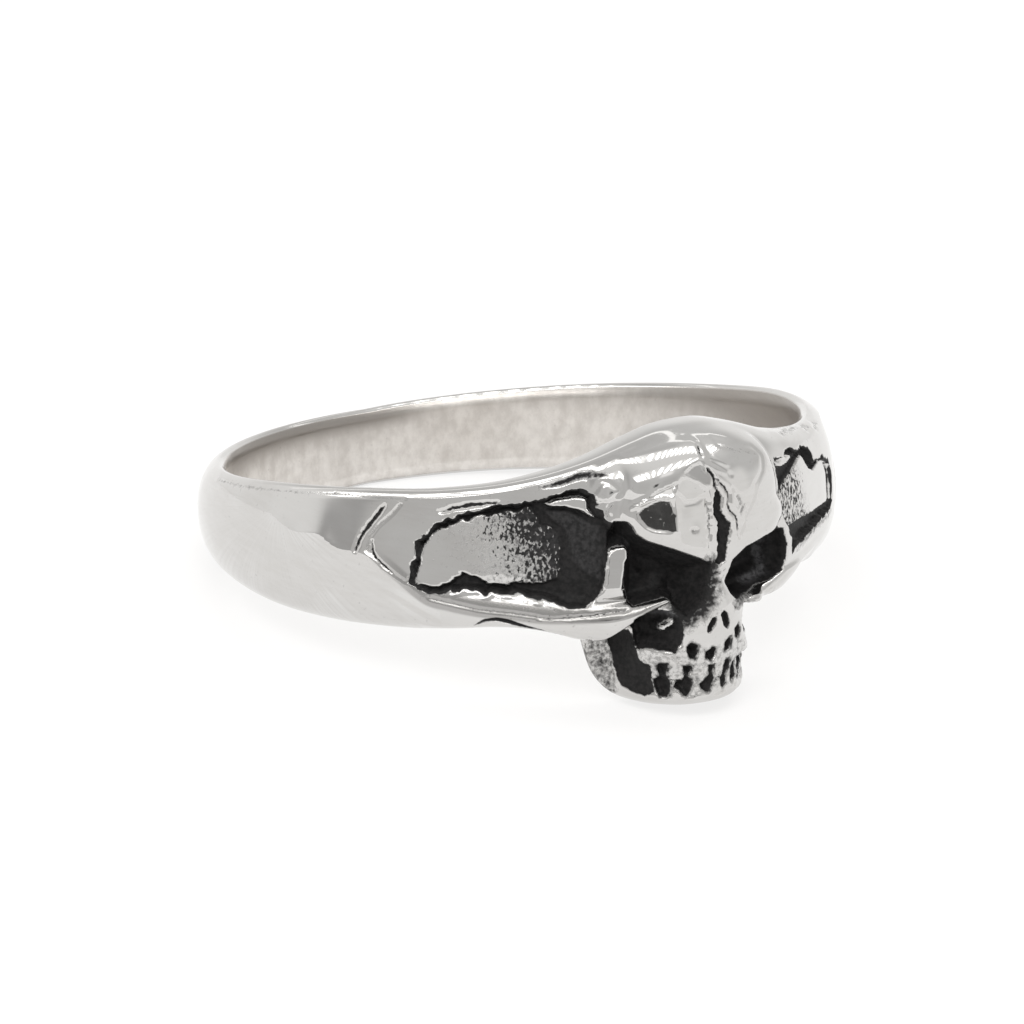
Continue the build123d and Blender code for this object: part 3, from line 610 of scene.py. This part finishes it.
def window(x, start, full, fading, end):
    """One inside a stretch, fading to zero at both of its ends."""
    return ease(x, start, full) * (1 - ease(x, fading, end))


def patch(bearing, height, bearings, heights):
    """One inside a patch, fading to zero at its edges."""
    return window(bearing, *bearings) * window(height, *heights)


def well(inside, rim_depth, floor_depth, rim_width, reach):
    """Depth of a recess with a steep rim and a rounded floor."""
    rim = rim_depth * ease(inside, -0.03, rim_width)
    return rim + (floor_depth - rim_depth) * ease(inside, rim_width / 2, reach)


def raised(depth, target, share):
    """Depth brought up to a lesser one, as far as the share says."""
    return depth + (np.minimum(target, depth) - depth) * share


def flat_shoulders(bearing, height, radius):
    """Cuts the shoulders flat between their lower edge and the bevel at the top rim."""
    side = -np.abs(bearing[:, :1])
    low, high = curve(side, SHOULDER_EDGE), top_rim(side) - shoulder_bevel
    first, second = bore_radius + body(side, low), bore_radius + body(side, high)
    share = (height - low) / (high - low)
    flat = first + (second - first) * share
    ends = np.where(bearing[:, :1] < 0, window(side, *LEFT_SHOULDER), window(side, *RIGHT_SHOULDER))
    cut = np.minimum(flat - radius, 0) * ends
    return radius + np.where((share > 0) & (share < 1), cut, 0)


def roll(bearing, height, radius):
    """Rounds the forehead evenly from the plate over the left eye up to the crest."""
    side = bearing[:, :1]
    low, high = curve(side, ROLL_LOW), curve(side, ROLL_TOP)
    base, tip = bore_radius + body(side, low), bore_radius + body(side, high)
    share = np.clip((height - low) / (high - low), 0, 1)
    turn = np.arcsin(share * np.sin(roll_turn))
    arc = base + (tip - base) * (1 - np.cos(turn)) / (1 - np.cos(roll_turn))
    within = (height > low) & (height < high)
    return radius + np.where(within, (arc - radius) * window(side, *FOREHEAD_ROLL), 0)


def facet(bearing, height, radius, outline, middle, facing):
    """Cuts a flat plate inside an outline."""
    turn, rise = np.radians(facing[0]), np.radians(facing[1])
    level = middle[2] * np.cos(rise) * np.cos(np.radians(middle[0]) - turn) + middle[1] * np.sin(rise)
    flat = (level - height * np.sin(rise)) / (np.cos(rise) * np.cos(np.radians(bearing) - turn))
    inside = distance_inside(bearing, height, outline)
    return radius + (flat - radius) * ease(inside, -0.03, 0.04)


def rail(bearing, height):
    """Satin strip of the left cheekbone, between the temple and the rounded lower edge, with painted shade on it."""
    over_edge = height - curve(-np.abs(bearing), SHOULDER_EDGE)
    return patch(bearing, over_edge, *RAIL)


def relief(bearing, height, radius):
    """Sinks every recess. Returns the radius and the masks that the finish reads."""
    place = bearing, height
    torn, fine = jagged(*place, *TORN_EDGE), jagged(*place, *FINE_EDGE)
    radius = roll(*place, flat_shoulders(*place, radius))
    cut = bevel_slope * patch(*place, *CHEEK_BEVEL) * above(-height, -bevel_top)
    radius = radius - np.minimum(cut, above(radius, bore_radius + bevel_wall))
    for plate in FACETS:
        radius = facet(*place, radius, *plate)
    light = ease(distance_inside(*place, LIGHT_FACET), 0.0, 0.1)
    radius = radius + light * dimples(*place, *FACET_WAVES)
    for line in RIDGES:
        radius = radius + ridge_height * ease(line_inside(*place, line), -0.10, 0.04)

    depth, ink = np.zeros(radius.shape), np.full(radius.shape, -9.0)
    for shape, broken, outlines in RECESSES:
        for outline in outlines:
            inside = distance_inside(*(fine if broken else place), outline)
            depth, ink = np.maximum(depth, well(inside, *shape)), np.maximum(ink, inside)
    heart = distance_inside(*fine, HEART)
    depth = depth * (1 - 0.9 * ease(heart, -0.08, 0.03))
    ink = np.minimum(ink, -heart)

    panel, plate = distance_inside(*torn, LEFT_TEMPLE), distance_inside(*torn, LEFT_PLATE)
    shard = distance_inside(*fine, LEFT_SHARD)
    floor = well(panel - 0.05, *LEFT_TEMPLE_WELL)
    floor = raised(floor, plate_depth + plate_fall * ease(bearing, -36, -22), ease(plate, -0.08, 0.02))
    floor = raised(floor, dark_panel_depth, ease(distance_inside(*place, DARK_PANEL), -0.02, 0.08))
    floor = raised(floor, shard_depth, ease(shard, -0.02, 0.05))
    depth = np.maximum(depth, floor)
    ink = np.maximum(ink, np.minimum(panel + 0.04, 0.02 - np.maximum(plate, shard)))
    across = bearing + pits_slant * height
    grain = np.where(plate > -pits_overlap, ease(across, -56, -11), 0.0)
    bar = distance_inside(*place, LEFT_BAR)
    radius = radius + ease(height, -1.45, -0.80) * (facet(*place, radius, *BAR_FACET) - radius)
    depth = raised(depth, bar_edge_depth * (1 - ease(bar, 0.0, 0.07)), ease(bar, -0.04, 0.02))
    ink = np.minimum(ink, -bar)

    panel, plate = distance_inside(*torn, RIGHT_TEMPLE), distance_inside(*fine, RIGHT_PLATE)
    shard = distance_inside(*place, RIGHT_SHARD)
    floor = well(panel - 0.05, *RIGHT_TEMPLE_WELL) * (1 - 0.6 * ease(bearing, 36, 44))
    floor = raised(floor, plate_depth, ease(plate, -0.08, 0.02))
    floor = raised(floor, shard_depth, ease(shard, -0.02, 0.05))
    depth = np.maximum(depth, floor)
    ink = np.maximum(ink, np.minimum(panel, -np.maximum(plate, shard)))
    grain = np.maximum(grain, np.where(plate > -pits_overlap, 0.60 * (1 - ease(across, 24, 36)), 0.0))

    for line in CRACK_LINES + [BITE]:
        inside = line_inside(*fine, line)
        depth = np.maximum(depth, crack_depth * ease(inside, -0.08, 0.04))
        ink = np.maximum(ink, inside)
    for line in CREASES + VEINS:
        depth = np.maximum(depth, crease_depth * ease(line_inside(*place, line), -0.11, 0.04))
    depth = depth + patch(*place, *GUMS) * dimples(*place, *GUM_WAVES)
    grain = np.maximum(grain, rail_grain * rail(*place))
    lip = ease(line_inside(*torn, LIP), -0.05, 0.03)
    depth = depth - lip * (lip_height + dimples(*place, *LIP_WAVES))
    sunk = np.maximum(radius - depth, bore_radius + wall_left)
    return np.where(radius > bore_radius + wall_left, sunk, radius), ink, grain


def smoke(bearing, height):
    """Soft patina beside the sockets, on the teeth, on the flange of the jaw and along the veins."""
    place = bearing, height
    by_nose = ease(distance_inside(*place, BRIDGE), -0.80, 0.25) * ease(bearing, -9.6, -6.4)
    streaks = ease(distance_inside(*place, RIGHT_TEMPLE), -0.38, -0.08) * ease(bearing, 20, 23)
    streaks = streaks * (1 - ease(height, -0.7, -0.4))
    plate = ease(distance_inside(*place, LEFT_PLATE), -0.02, 0.08) * ease(bearing + pits_slant * height, -52, -20)
    wedge = ease(line_inside(*place, SHADE), -0.09, 0.06)
    stains = [1.15 * by_nose, 0.50 * streaks, 0.60 * plate, 0.80 * wedge]
    stains += [strength * patch(*place, *spans) for strength, *spans in STAINS]
    stains += [0.66 * ease(distance_inside(*place, outline), -0.13, 0.0) for outline in TEETH]
    stains += [0.42 * ease(line_inside(*place, line), -0.07, 0.03) for line in VEINS]
    return np.maximum.reduce(stains)


def wear_and_highlight(bearing, height):
    """Black worn a little lighter, the left hollow's top lighter, and a painted highlight under the right socket."""
    place = bearing, height
    dark_panel = 0.15 * ease(distance_inside(*place, DARK_PANEL), -0.05, 0.1)
    plate_end = 0.13 * ease(distance_inside(*place, LEFT_PLATE), -0.02, 0.1) * ease(bearing, -36, -27)
    crack = line_inside(*jagged(*place, *WORN_EDGE), TEMPLE_CRACK)
    temple = np.maximum(dark_panel, plate_end) * (1 - ease(crack, -0.05, 0.03))
    hollow_top = np.where(distance_inside(*place, LEFT_HOLLOW) > 0, 0.8 * ease(height, -2.10, -1.90), 0)
    # Painted highlight: the crescent under the right socket, drawn as lighter black
    socket_highlight = 0.9 * ease(line_inside(*place, SOCKET_CRESCENT_HIGHLIGHT), -0.12, 0.03)
    return np.maximum.reduce([temple, hollow_top, socket_highlight])


def painted_bore_shade(bearing, height):
    """Painted shade in the finger hole: darker under the rim at the left and towards the right end."""
    around = np.where(bearing < 0, bearing + 360, bearing)
    under_rim = ease(height, 0.45, 0.95) * window(around, 158, 178, 226, 238)
    right_end = 0.9 * window(around, 40, 60, 85, 135)
    right_end = right_end + 0.35 * ease(height, 0.7, 1.2) * window(around, 40, 60, 140, 165)
    return np.clip(np.maximum(under_rim, right_end), 0, 1)


# Sections of the mesh, close together over the face: from bearing, to bearing, step
SPANS = [
    (-180, -115, 3.2), (-115, -62, 1.0), (-62, -52, 0.26), (-52, -20, 0.42), (-20, -17, 0.34), (-17, 4, 0.24),
    (4, 22, 0.31), (22, 46, 0.44), (46, 115, 1.8), (115, 180, 3.2),
]
rows_in_edge = 6
rows_over_rim = 16
rows_down_side = 166
rows_in_bore = 6
rows_above = 0.62   # share of the rows that lies over the foot of the band
band_foot = 0.12    # height of the foot, as a share of the band's
rim_corner = 0.05   # height of the turn over the rim, as a share of the band's


def rays(bearing):
    """Starting radii, starting heights and slopes of the rays that find the rows."""
    top, low, own = top_rim(bearing), low_rim(bearing), curve(bearing, LOW_RIM)
    corner = rim_corner * (top - own)
    knee = own + band_foot * (top - own)
    inner = np.linspace(0, ray_root, rows_in_edge)
    fan = 90 * np.linspace(1, 0, rows_over_rim + 1, endpoint=False)[1:] ** 1.25
    turned = np.concatenate([np.full(len(inner), 90.0), fan])
    slope = np.concatenate([turned, np.zeros(rows_down_side), -turned[::-1]])
    root = np.concatenate([inner, np.full(2 * len(fan) + rows_down_side, ray_root), inner[::-1]])
    share = np.pad(np.linspace(0, 1, rows_down_side), len(turned), constant_values=(0, 1))
    upper = top - corner + (knee - top + corner) * np.clip(share / rows_above, 0, 1)
    lower = knee + (low + corner - knee) * np.clip((share - rows_above) / (1 - rows_above), 0, 1)
    return bore_radius + root, np.where(share < rows_above, upper, lower), np.radians(slope)


def surface():
    """Bearing, radius and height of every row of every section, found along rays."""
    bearing = np.concatenate([np.arange(low, high - 0.4 * step, step) for low, high, step in SPANS])[:, None]
    start, start_height, slope = rays(bearing)

    def outside(travel):
        return ~solid_at(bearing, start + travel * np.cos(slope), start_height + travel * np.sin(slope))

    far = np.zeros(start_height.shape)
    still_inside = np.ones(start_height.shape, bool)
    for travel in np.arange(0.1, 6.0, 0.1):
        left = outside(travel)
        far = np.where(left & still_inside, travel, far)
        still_inside &= ~left
    near = far - 0.1
    for _ in range(14):
        middle = (near + far) / 2
        left = outside(middle)
        near, far = np.where(left, near, middle), np.where(left, middle, far)
    radius = start + far * np.cos(slope)
    return bearing + 0 * radius, radius, start_height + far * np.sin(slope)


def ring_mesh():
    """The ring as one closed mesh, with the masks stored on its points."""
    bearing, radius, height = surface()
    radius, ink, grain = relief(bearing, height, radius)
    low, top = height[:, -1:], height[:, :1]
    wall = low + (top - low) * np.linspace(0, 1, rows_in_bore + 2)[1:-1]

    def padded(field, value=0.0):
        return np.pad(field, ((0, 0), (0, rows_in_bore)), constant_values=value)

    masks = {"ink": padded(ink, -9), "grain": padded(grain),
             "patina": padded(smoke(bearing, height)), "worn_and_highlit": padded(wear_and_highlight(bearing, height))}
    height = np.concatenate([height, wall], 1)
    bearing, radius = bearing[:, :1] + 0 * height, padded(radius, bore_radius)
    hole = np.clip(1 - (radius - bore_radius) / 0.06, 0, 1)
    fan = np.arctan2(height - fan_middle[1], np.radians(bearing - fan_middle[0]) * face_reach)
    on_band = (bearing < -45) & (height < curve(-np.abs(bearing), SHOULDER_EDGE)) & (hole == 0)
    # Painted shade: the lining darker under the rim and towards its right end, the rail of the left cheekbone darker
    dull = np.maximum(hole * painted_bore_shade(bearing, height), rail_dullness * rail(bearing, height) * (hole == 0))
    masks.update(hole=hole, dull=dull, fan=np.where(on_band, fan, 0))
    spots = tilted(points(bearing, radius, height), rest_angle) + np.array(hole_centre)

    sections, rows = radius.shape
    i, k = np.meshgrid(np.arange(sections), np.arange(rows), indexing="ij")
    j, n = (i + 1) % sections, (k + 1) % rows
    faces = np.stack([i * rows + k, i * rows + n, j * rows + n, j * rows + k], -1).reshape(-1, 4)
    mesh = bpy.data.meshes.new("skull_ring_skin")
    mesh.from_pydata((spots.reshape(-1, 3) / 1000).tolist(), [], faces.tolist())
    mesh.polygons.foreach_set("use_smooth", [True] * len(mesh.polygons))
    for name, field in masks.items():
        attribute = mesh.attributes.new(name, "FLOAT", "POINT")
        attribute.data.foreach_set("value", field.astype(np.float32).ravel())
    mesh.update()
    return put("ring_skin", mesh)


def put(name, data):
    """A new object in the scene."""
    thing = bpy.data.objects.new(name, data)
    bpy.context.scene.collection.objects.link(thing)
    return thing


class Nodes:
    """Short hand for building a node tree."""

    def __init__(self, tree):
        self.tree = tree
        self.tree.nodes.clear()

    def add(self, kind, **values):
        node = self.tree.nodes.new("ShaderNode" + kind)
        for name, value in values.items():
            setattr(node, name, value)
        return node

    def set(self, node, **values):
        """Values or links for sockets, by name or as i and their number."""
        for name, value in values.items():
            socket = node.inputs[int(name[1:]) if name[1:].isdigit() else name]
            if hasattr(value, "links"):
                self.tree.links.new(value, socket)
            else:
                socket.default_value = value
        return node

    def math(self, operation, first, second=0.5):
        return self.set(self.add("Math", operation=operation), i0=first, i1=second).outputs[0]

    def times(self, first, second):
        return self.math("MULTIPLY", first, second)

    def ramp(self, value, low, high, out_low=0.0, out_high=1.0):
        node = self.add("MapRange", interpolation_type="SMOOTHSTEP")
        return self.set(node, i0=value, i1=low, i2=high, i3=out_low, i4=out_high).outputs[0]

    def window(self, value, low, high, soft):
        """One between low and high, with soft ends."""
        return self.times(self.ramp(value, low - soft, low + soft), self.ramp(value, high + soft, high - soft))

    def attribute(self, name):
        return self.add("Attribute", attribute_name=name, attribute_type="GEOMETRY").outputs["Fac"]

    def noise(self, where, cells, detail=2.0, rough=0.5):
        return self.set(self.add("TexNoise"), Vector=where, Scale=cells, Detail=detail, Roughness=rough).outputs[0]

    def squeezed(self, where, upright):
        """Place with its heights scaled."""
        return self.set(self.add("Mapping"), Vector=where, Scale=(1, 1, upright)).outputs[0]

    def mix(self, share, first, second):
        return self.set(self.add("Mix", data_type="RGBA"), i0=share, i6=first, i7=second).outputs[2]

    def blend(self, share, first, second):
        return self.set(self.add("Mix", data_type="FLOAT"), i0=share, i2=first, i3=second).outputs[0]


# Colours of the finish, light and dark
STEEL = [(0.600, 0.588, 0.573, 1), (0.625, 0.615, 0.603, 1)]
FAN_STREAK = (0.67, 0.665, 0.655, 1)
LINING = [(0.64, 0.608, 0.574, 1), (0.80, 0.770, 0.735, 1)]
# Painted shade: darker colours for the rail outside and for the finger hole's lining
PAINTED_SHADE_OUTSIDE, PAINTED_SHADE_LINING = (0.36, 0.353, 0.344, 1), (0.36, 0.335, 0.312, 1)
SOOT = [(0.010, 0.010, 0.010, 1), (0.019, 0.018, 0.018, 1)]
# Lighter black for the worn places and for the painted highlight under the right socket
WORN_AND_HIGHLIT_SOOT = (0.10, 0.099, 0.103, 1)
polish_roughness = (0.045, 0.09)
lining_roughness = (0.30, 0.42)
satin_roughness = 0.26
soot_roughness = 0.48


def steel():
    """Polished steel with satin in the finger hole and blackened recesses. Noises are in cells per metre."""
    material = bpy.data.materials.new("polished_steel")
    material.use_nodes = True
    t = Nodes(material.node_tree)
    where = t.add("TexCoord").outputs["Object"]
    grain, patina, hole = t.attribute("grain"), t.attribute("patina"), t.attribute("hole")

    frayed = t.times(t.math("SUBTRACT", t.noise(where, 9000, 3), 0.5), 0.06)
    black = t.ramp(t.math("ADD", t.attribute("ink"), frayed), -0.015, 0.02)
    pits = t.noise(t.squeezed(where, 0.65), 9500, 3, 0.55)
    specks = t.math("SUBTRACT", pits, t.math("SUBTRACT", 0.96, t.times(grain, 0.78)))
    haze_noise = t.noise(where, 6500, 4, 0.6)
    haze = t.math("SUBTRACT", haze_noise, t.math("SUBTRACT", 0.85, t.times(patina, 0.70)))
    dark = t.math("MAXIMUM", t.ramp(specks, -0.06, 0.08), t.ramp(haze, -0.24, 0.26))
    dark = t.math("MAXIMUM", t.math("MAXIMUM", black, dark), t.ramp(patina, 0.35, 1.1))
    satin = t.math("MAXIMUM", t.ramp(grain, 0.1, 0.5), t.ramp(patina, 0.2, 0.8))

    streaks = t.noise(t.squeezed(where, 6), 900, 4, 0.6)
    polished = t.ramp(t.noise(where, 2600, 3, 0.6), 0.3, 0.8, *polish_roughness)
    rough = t.blend(hole, polished, t.ramp(streaks, 0.3, 0.7, *lining_roughness))
    rough = t.blend(dark, t.blend(satin, rough, satin_roughness), soot_roughness)

    fan = t.set(t.add("CombineXYZ"), X=t.times(t.attribute("fan"), 26.0)).outputs[0]
    fan = t.times(t.ramp(t.noise(fan, 1.0), 0.35, 0.65), t.ramp(t.noise(where, 400), 0.4, 0.6, 0.2, 1.0))
    bright = t.mix(fan, t.mix(t.ramp(streaks, 0.3, 0.7), *STEEL), FAN_STREAK)
    mottle = t.ramp(t.noise(t.squeezed(where, 0.7), 1900, 5, 0.65), 0.3, 0.7)
    bright = t.mix(hole, bright, t.mix(mottle, *LINING))
    # Painted shade mixed over the steel and the lining
    bright = t.mix(t.attribute("dull"), bright, t.mix(hole, PAINTED_SHADE_OUTSIDE, PAINTED_SHADE_LINING))
    soot = t.mix(t.ramp(haze_noise, 0.35, 0.65), *SOOT)
    # Black lighter where it is worn, and a painted highlight under the right socket
    soot = t.mix(t.times(t.attribute("worn_and_highlit"), t.ramp(haze_noise, 0.25, 0.7)), soot, WORN_AND_HIGHLIT_SOOT)

    rugged = t.times(dark, t.math("ADD", t.noise(where, 14000, 3), -1.0))
    bump = t.set(t.add("Bump"), Strength=0.35, Distance=0.00003, Height=rugged)
    shader = t.add("BsdfPrincipled")
    t.set(shader, **{"Base Color": t.mix(dark, bright, soot), "Metallic": t.ramp(dark, 0.0, 1.0, 1.0, 0.0),
                     "Roughness": rough, "Specular IOR Level": 0.12, "Normal": bump.outputs[0]})
    t.set(t.add("OutputMaterial"), Surface=shader.outputs[0])
    return material


def pale_floor():
    """Wide floor that shows as plain white, with a faint shadow."""
    mesh = bpy.data.meshes.new("floor")
    half = 1.2
    mesh.from_pydata([(-half, -half, 0), (half, -half, 0), (half, half, 0), (-half, half, 0)], [], [(0, 1, 2, 3)])
    material = bpy.data.materials.new("pale_floor")
    material.use_nodes = True
    sockets = material.node_tree.nodes["Principled BSDF"].inputs
    for name, value in {"Base Color": (0.20, 0.199, 0.197, 1), "Roughness": 0.9, "Specular IOR Level": 0.1,
                        "Emission Color": (1.0, 0.995, 0.99, 1), "Emission Strength": 0.74}.items():
        sockets[name].default_value = value
    mesh.materials.append(material)
    floor = put("floor", mesh)


# Sky over the panels: rises between which it grows lighter, brightness at both
SKY = (25.0, 75.0, 0.70, 0.95)
# Panels of the surround: bearings and rises that they cover in degrees, softness, brightness
PANELS = [
    (-200, -112, -20, 45, 12, 1.00),
    (-105, -92, -20, 30, 13, 0.42),
    (-89, -72, -20, 30, 6, 0.66),
    (-72, -42, -20, 26, 9, 0.65),
    (-24, 2, -20, 26, 9, 0.62),
    (4, 60, -20, 22, 8, 1.00),
    (2, 50, 28, 44, 8, 0.56),
    (60, 112, -20, 10, 8, 0.95),
    (60, 112, 12, 46, 8, 0.72),
    (112, 200, -20, 22, 12, 1.00),
    (150, 200, 40, 58, 8, 0.66),
    (-200, -162, 40, 60, 8, 0.62),
    (-33.5, -27, 10.5, 18, 1.6, 0.07),
    (-32, -12, 35, 47, 4, 1.20),
]
camera_bearing = radians(-32.9)
# Rows of lamps overhead, in shares of their height: distance towards the camera, slant, half width,
# lamps per height, brightness of the strip that carries them
LAMP_ROWS = [(0.72, -0.55, 0.36, 6.0, 1.05), (-0.31, -0.10, 0.29, 15.0, 1.05), (-1.30, -0.10, 0.07, 0.0, 1.50)]
lamp_rows_middle = -0.45
lamp_rows_reach = 1.15
lamp_brightness = 5.0
lamps_apart = 3.2   # way from lamp to lamp, in half lengths of a lamp


def studio():
    """Plain soft surround with lighter and darker panels and rows of lamps for the polish to mirror."""
    world = bpy.data.worlds.new("studio")
    bpy.context.scene.world = world
    world.use_nodes = True
    t = Nodes(world.node_tree)
    x, y, z = t.set(t.add("SeparateXYZ"), i0=t.add("TexCoord").outputs["Generated"]).outputs
    bearing = t.math("DEGREES", t.math("ARCTAN2", x, t.times(y, -1.0)))
    rise = t.math("DEGREES", t.math("ARCSINE", z))
    level = t.ramp(rise, *SKY)
    for west, east, low, high, soft, brightness in PANELS:
        inside = t.times(t.window(bearing, west, east, soft), t.window(rise, low, high, soft))
        level = t.blend(inside, level, brightness)
    overhead = t.math("MAXIMUM", z, 0.05)
    along = t.math("ADD", t.times(x, cos(camera_bearing)), t.times(y, sin(camera_bearing)))
    along = t.math("DIVIDE", along, overhead)
    toward = t.math("SUBTRACT", t.times(x, sin(camera_bearing)), t.times(y, cos(camera_bearing)))
    toward = t.math("DIVIDE", toward, overhead)
    ends = t.math("ABSOLUTE", t.math("SUBTRACT", along, lamp_rows_middle))
    ends = t.ramp(ends, lamp_rows_reach, lamp_rows_reach - 0.2)
    for place, slant, half, count, glow in LAMP_ROWS:
        cell = t.math("SUBTRACT", t.math("FRACT", t.times(along, count)), 0.5)
        away = t.math("SUBTRACT", toward, t.math("ADD", t.times(along, slant), place))
        away = t.math("DIVIDE", away, half)
        spot = t.math("ADD", t.math("POWER", t.times(cell, lamps_apart), 2.0), t.math("POWER", away, 2.0))
        lamp = t.times(t.ramp(spot, 1.0, 0.4), t.times(ends, lamp_brightness))
        strip = t.ramp(t.math("ABSOLUTE", away), 1.4, 0.9, 0.0, glow)
        level = t.math("MAXIMUM", t.math("MAXIMUM", level, t.times(strip, ends)), lamp)
    background = t.set(t.add("Background"), Color=(1.0, 0.993, 0.980, 1), Strength=level)
    t.set(t.add("OutputWorld"), Surface=background.outputs[0])
    bpy.context.scene.view_settings.view_transform = "Standard"


def key_light():
    """Soft light from over the camera's left shoulder, which the polish doesn't mirror."""
    data = bpy.data.lights.new("key", "AREA")
    data.shape = "RECTANGLE"
    data.size, data.size_y = 0.5, 0.3
    data.energy = 2.6
    light = put("key", data)
    light.location = (-0.35, -0.35, 0.55)
    light.visible_glossy = False
    away = light.location - Vector((0, 0, 0.004))
    light.rotation_euler = away.to_track_quat("Z", "Y").to_euler()


def camera():
    """Camera at the photograph's angle: its place in millimetres, then the directions of its axes."""
    place = Vector((-111.23, -170.42, 85.04)) / 1000
    right = Vector((0.84810, -0.52802, 0.04390))
    up = Vector((0.16351, 0.33964, 0.92623))
    back = Vector((-0.50398, -0.77836, 0.37439))
    data = bpy.data.cameras.new("camera")
    data.sensor_width = 36
    data.lens = 225.05
    data.clip_start, data.clip_end = 0.01, 20
    view = put("camera", data)
    turn = Matrix((right, up, back)).transposed().to_4x4()
    view.matrix_world = Matrix.Translation(place) @ turn
    bpy.context.scene.camera = view


ring = ring_mesh()
ring.data.materials.append(steel())
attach(ring, "root")
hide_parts("skull_ring")

pale_floor()
studio()
key_light()
camera()
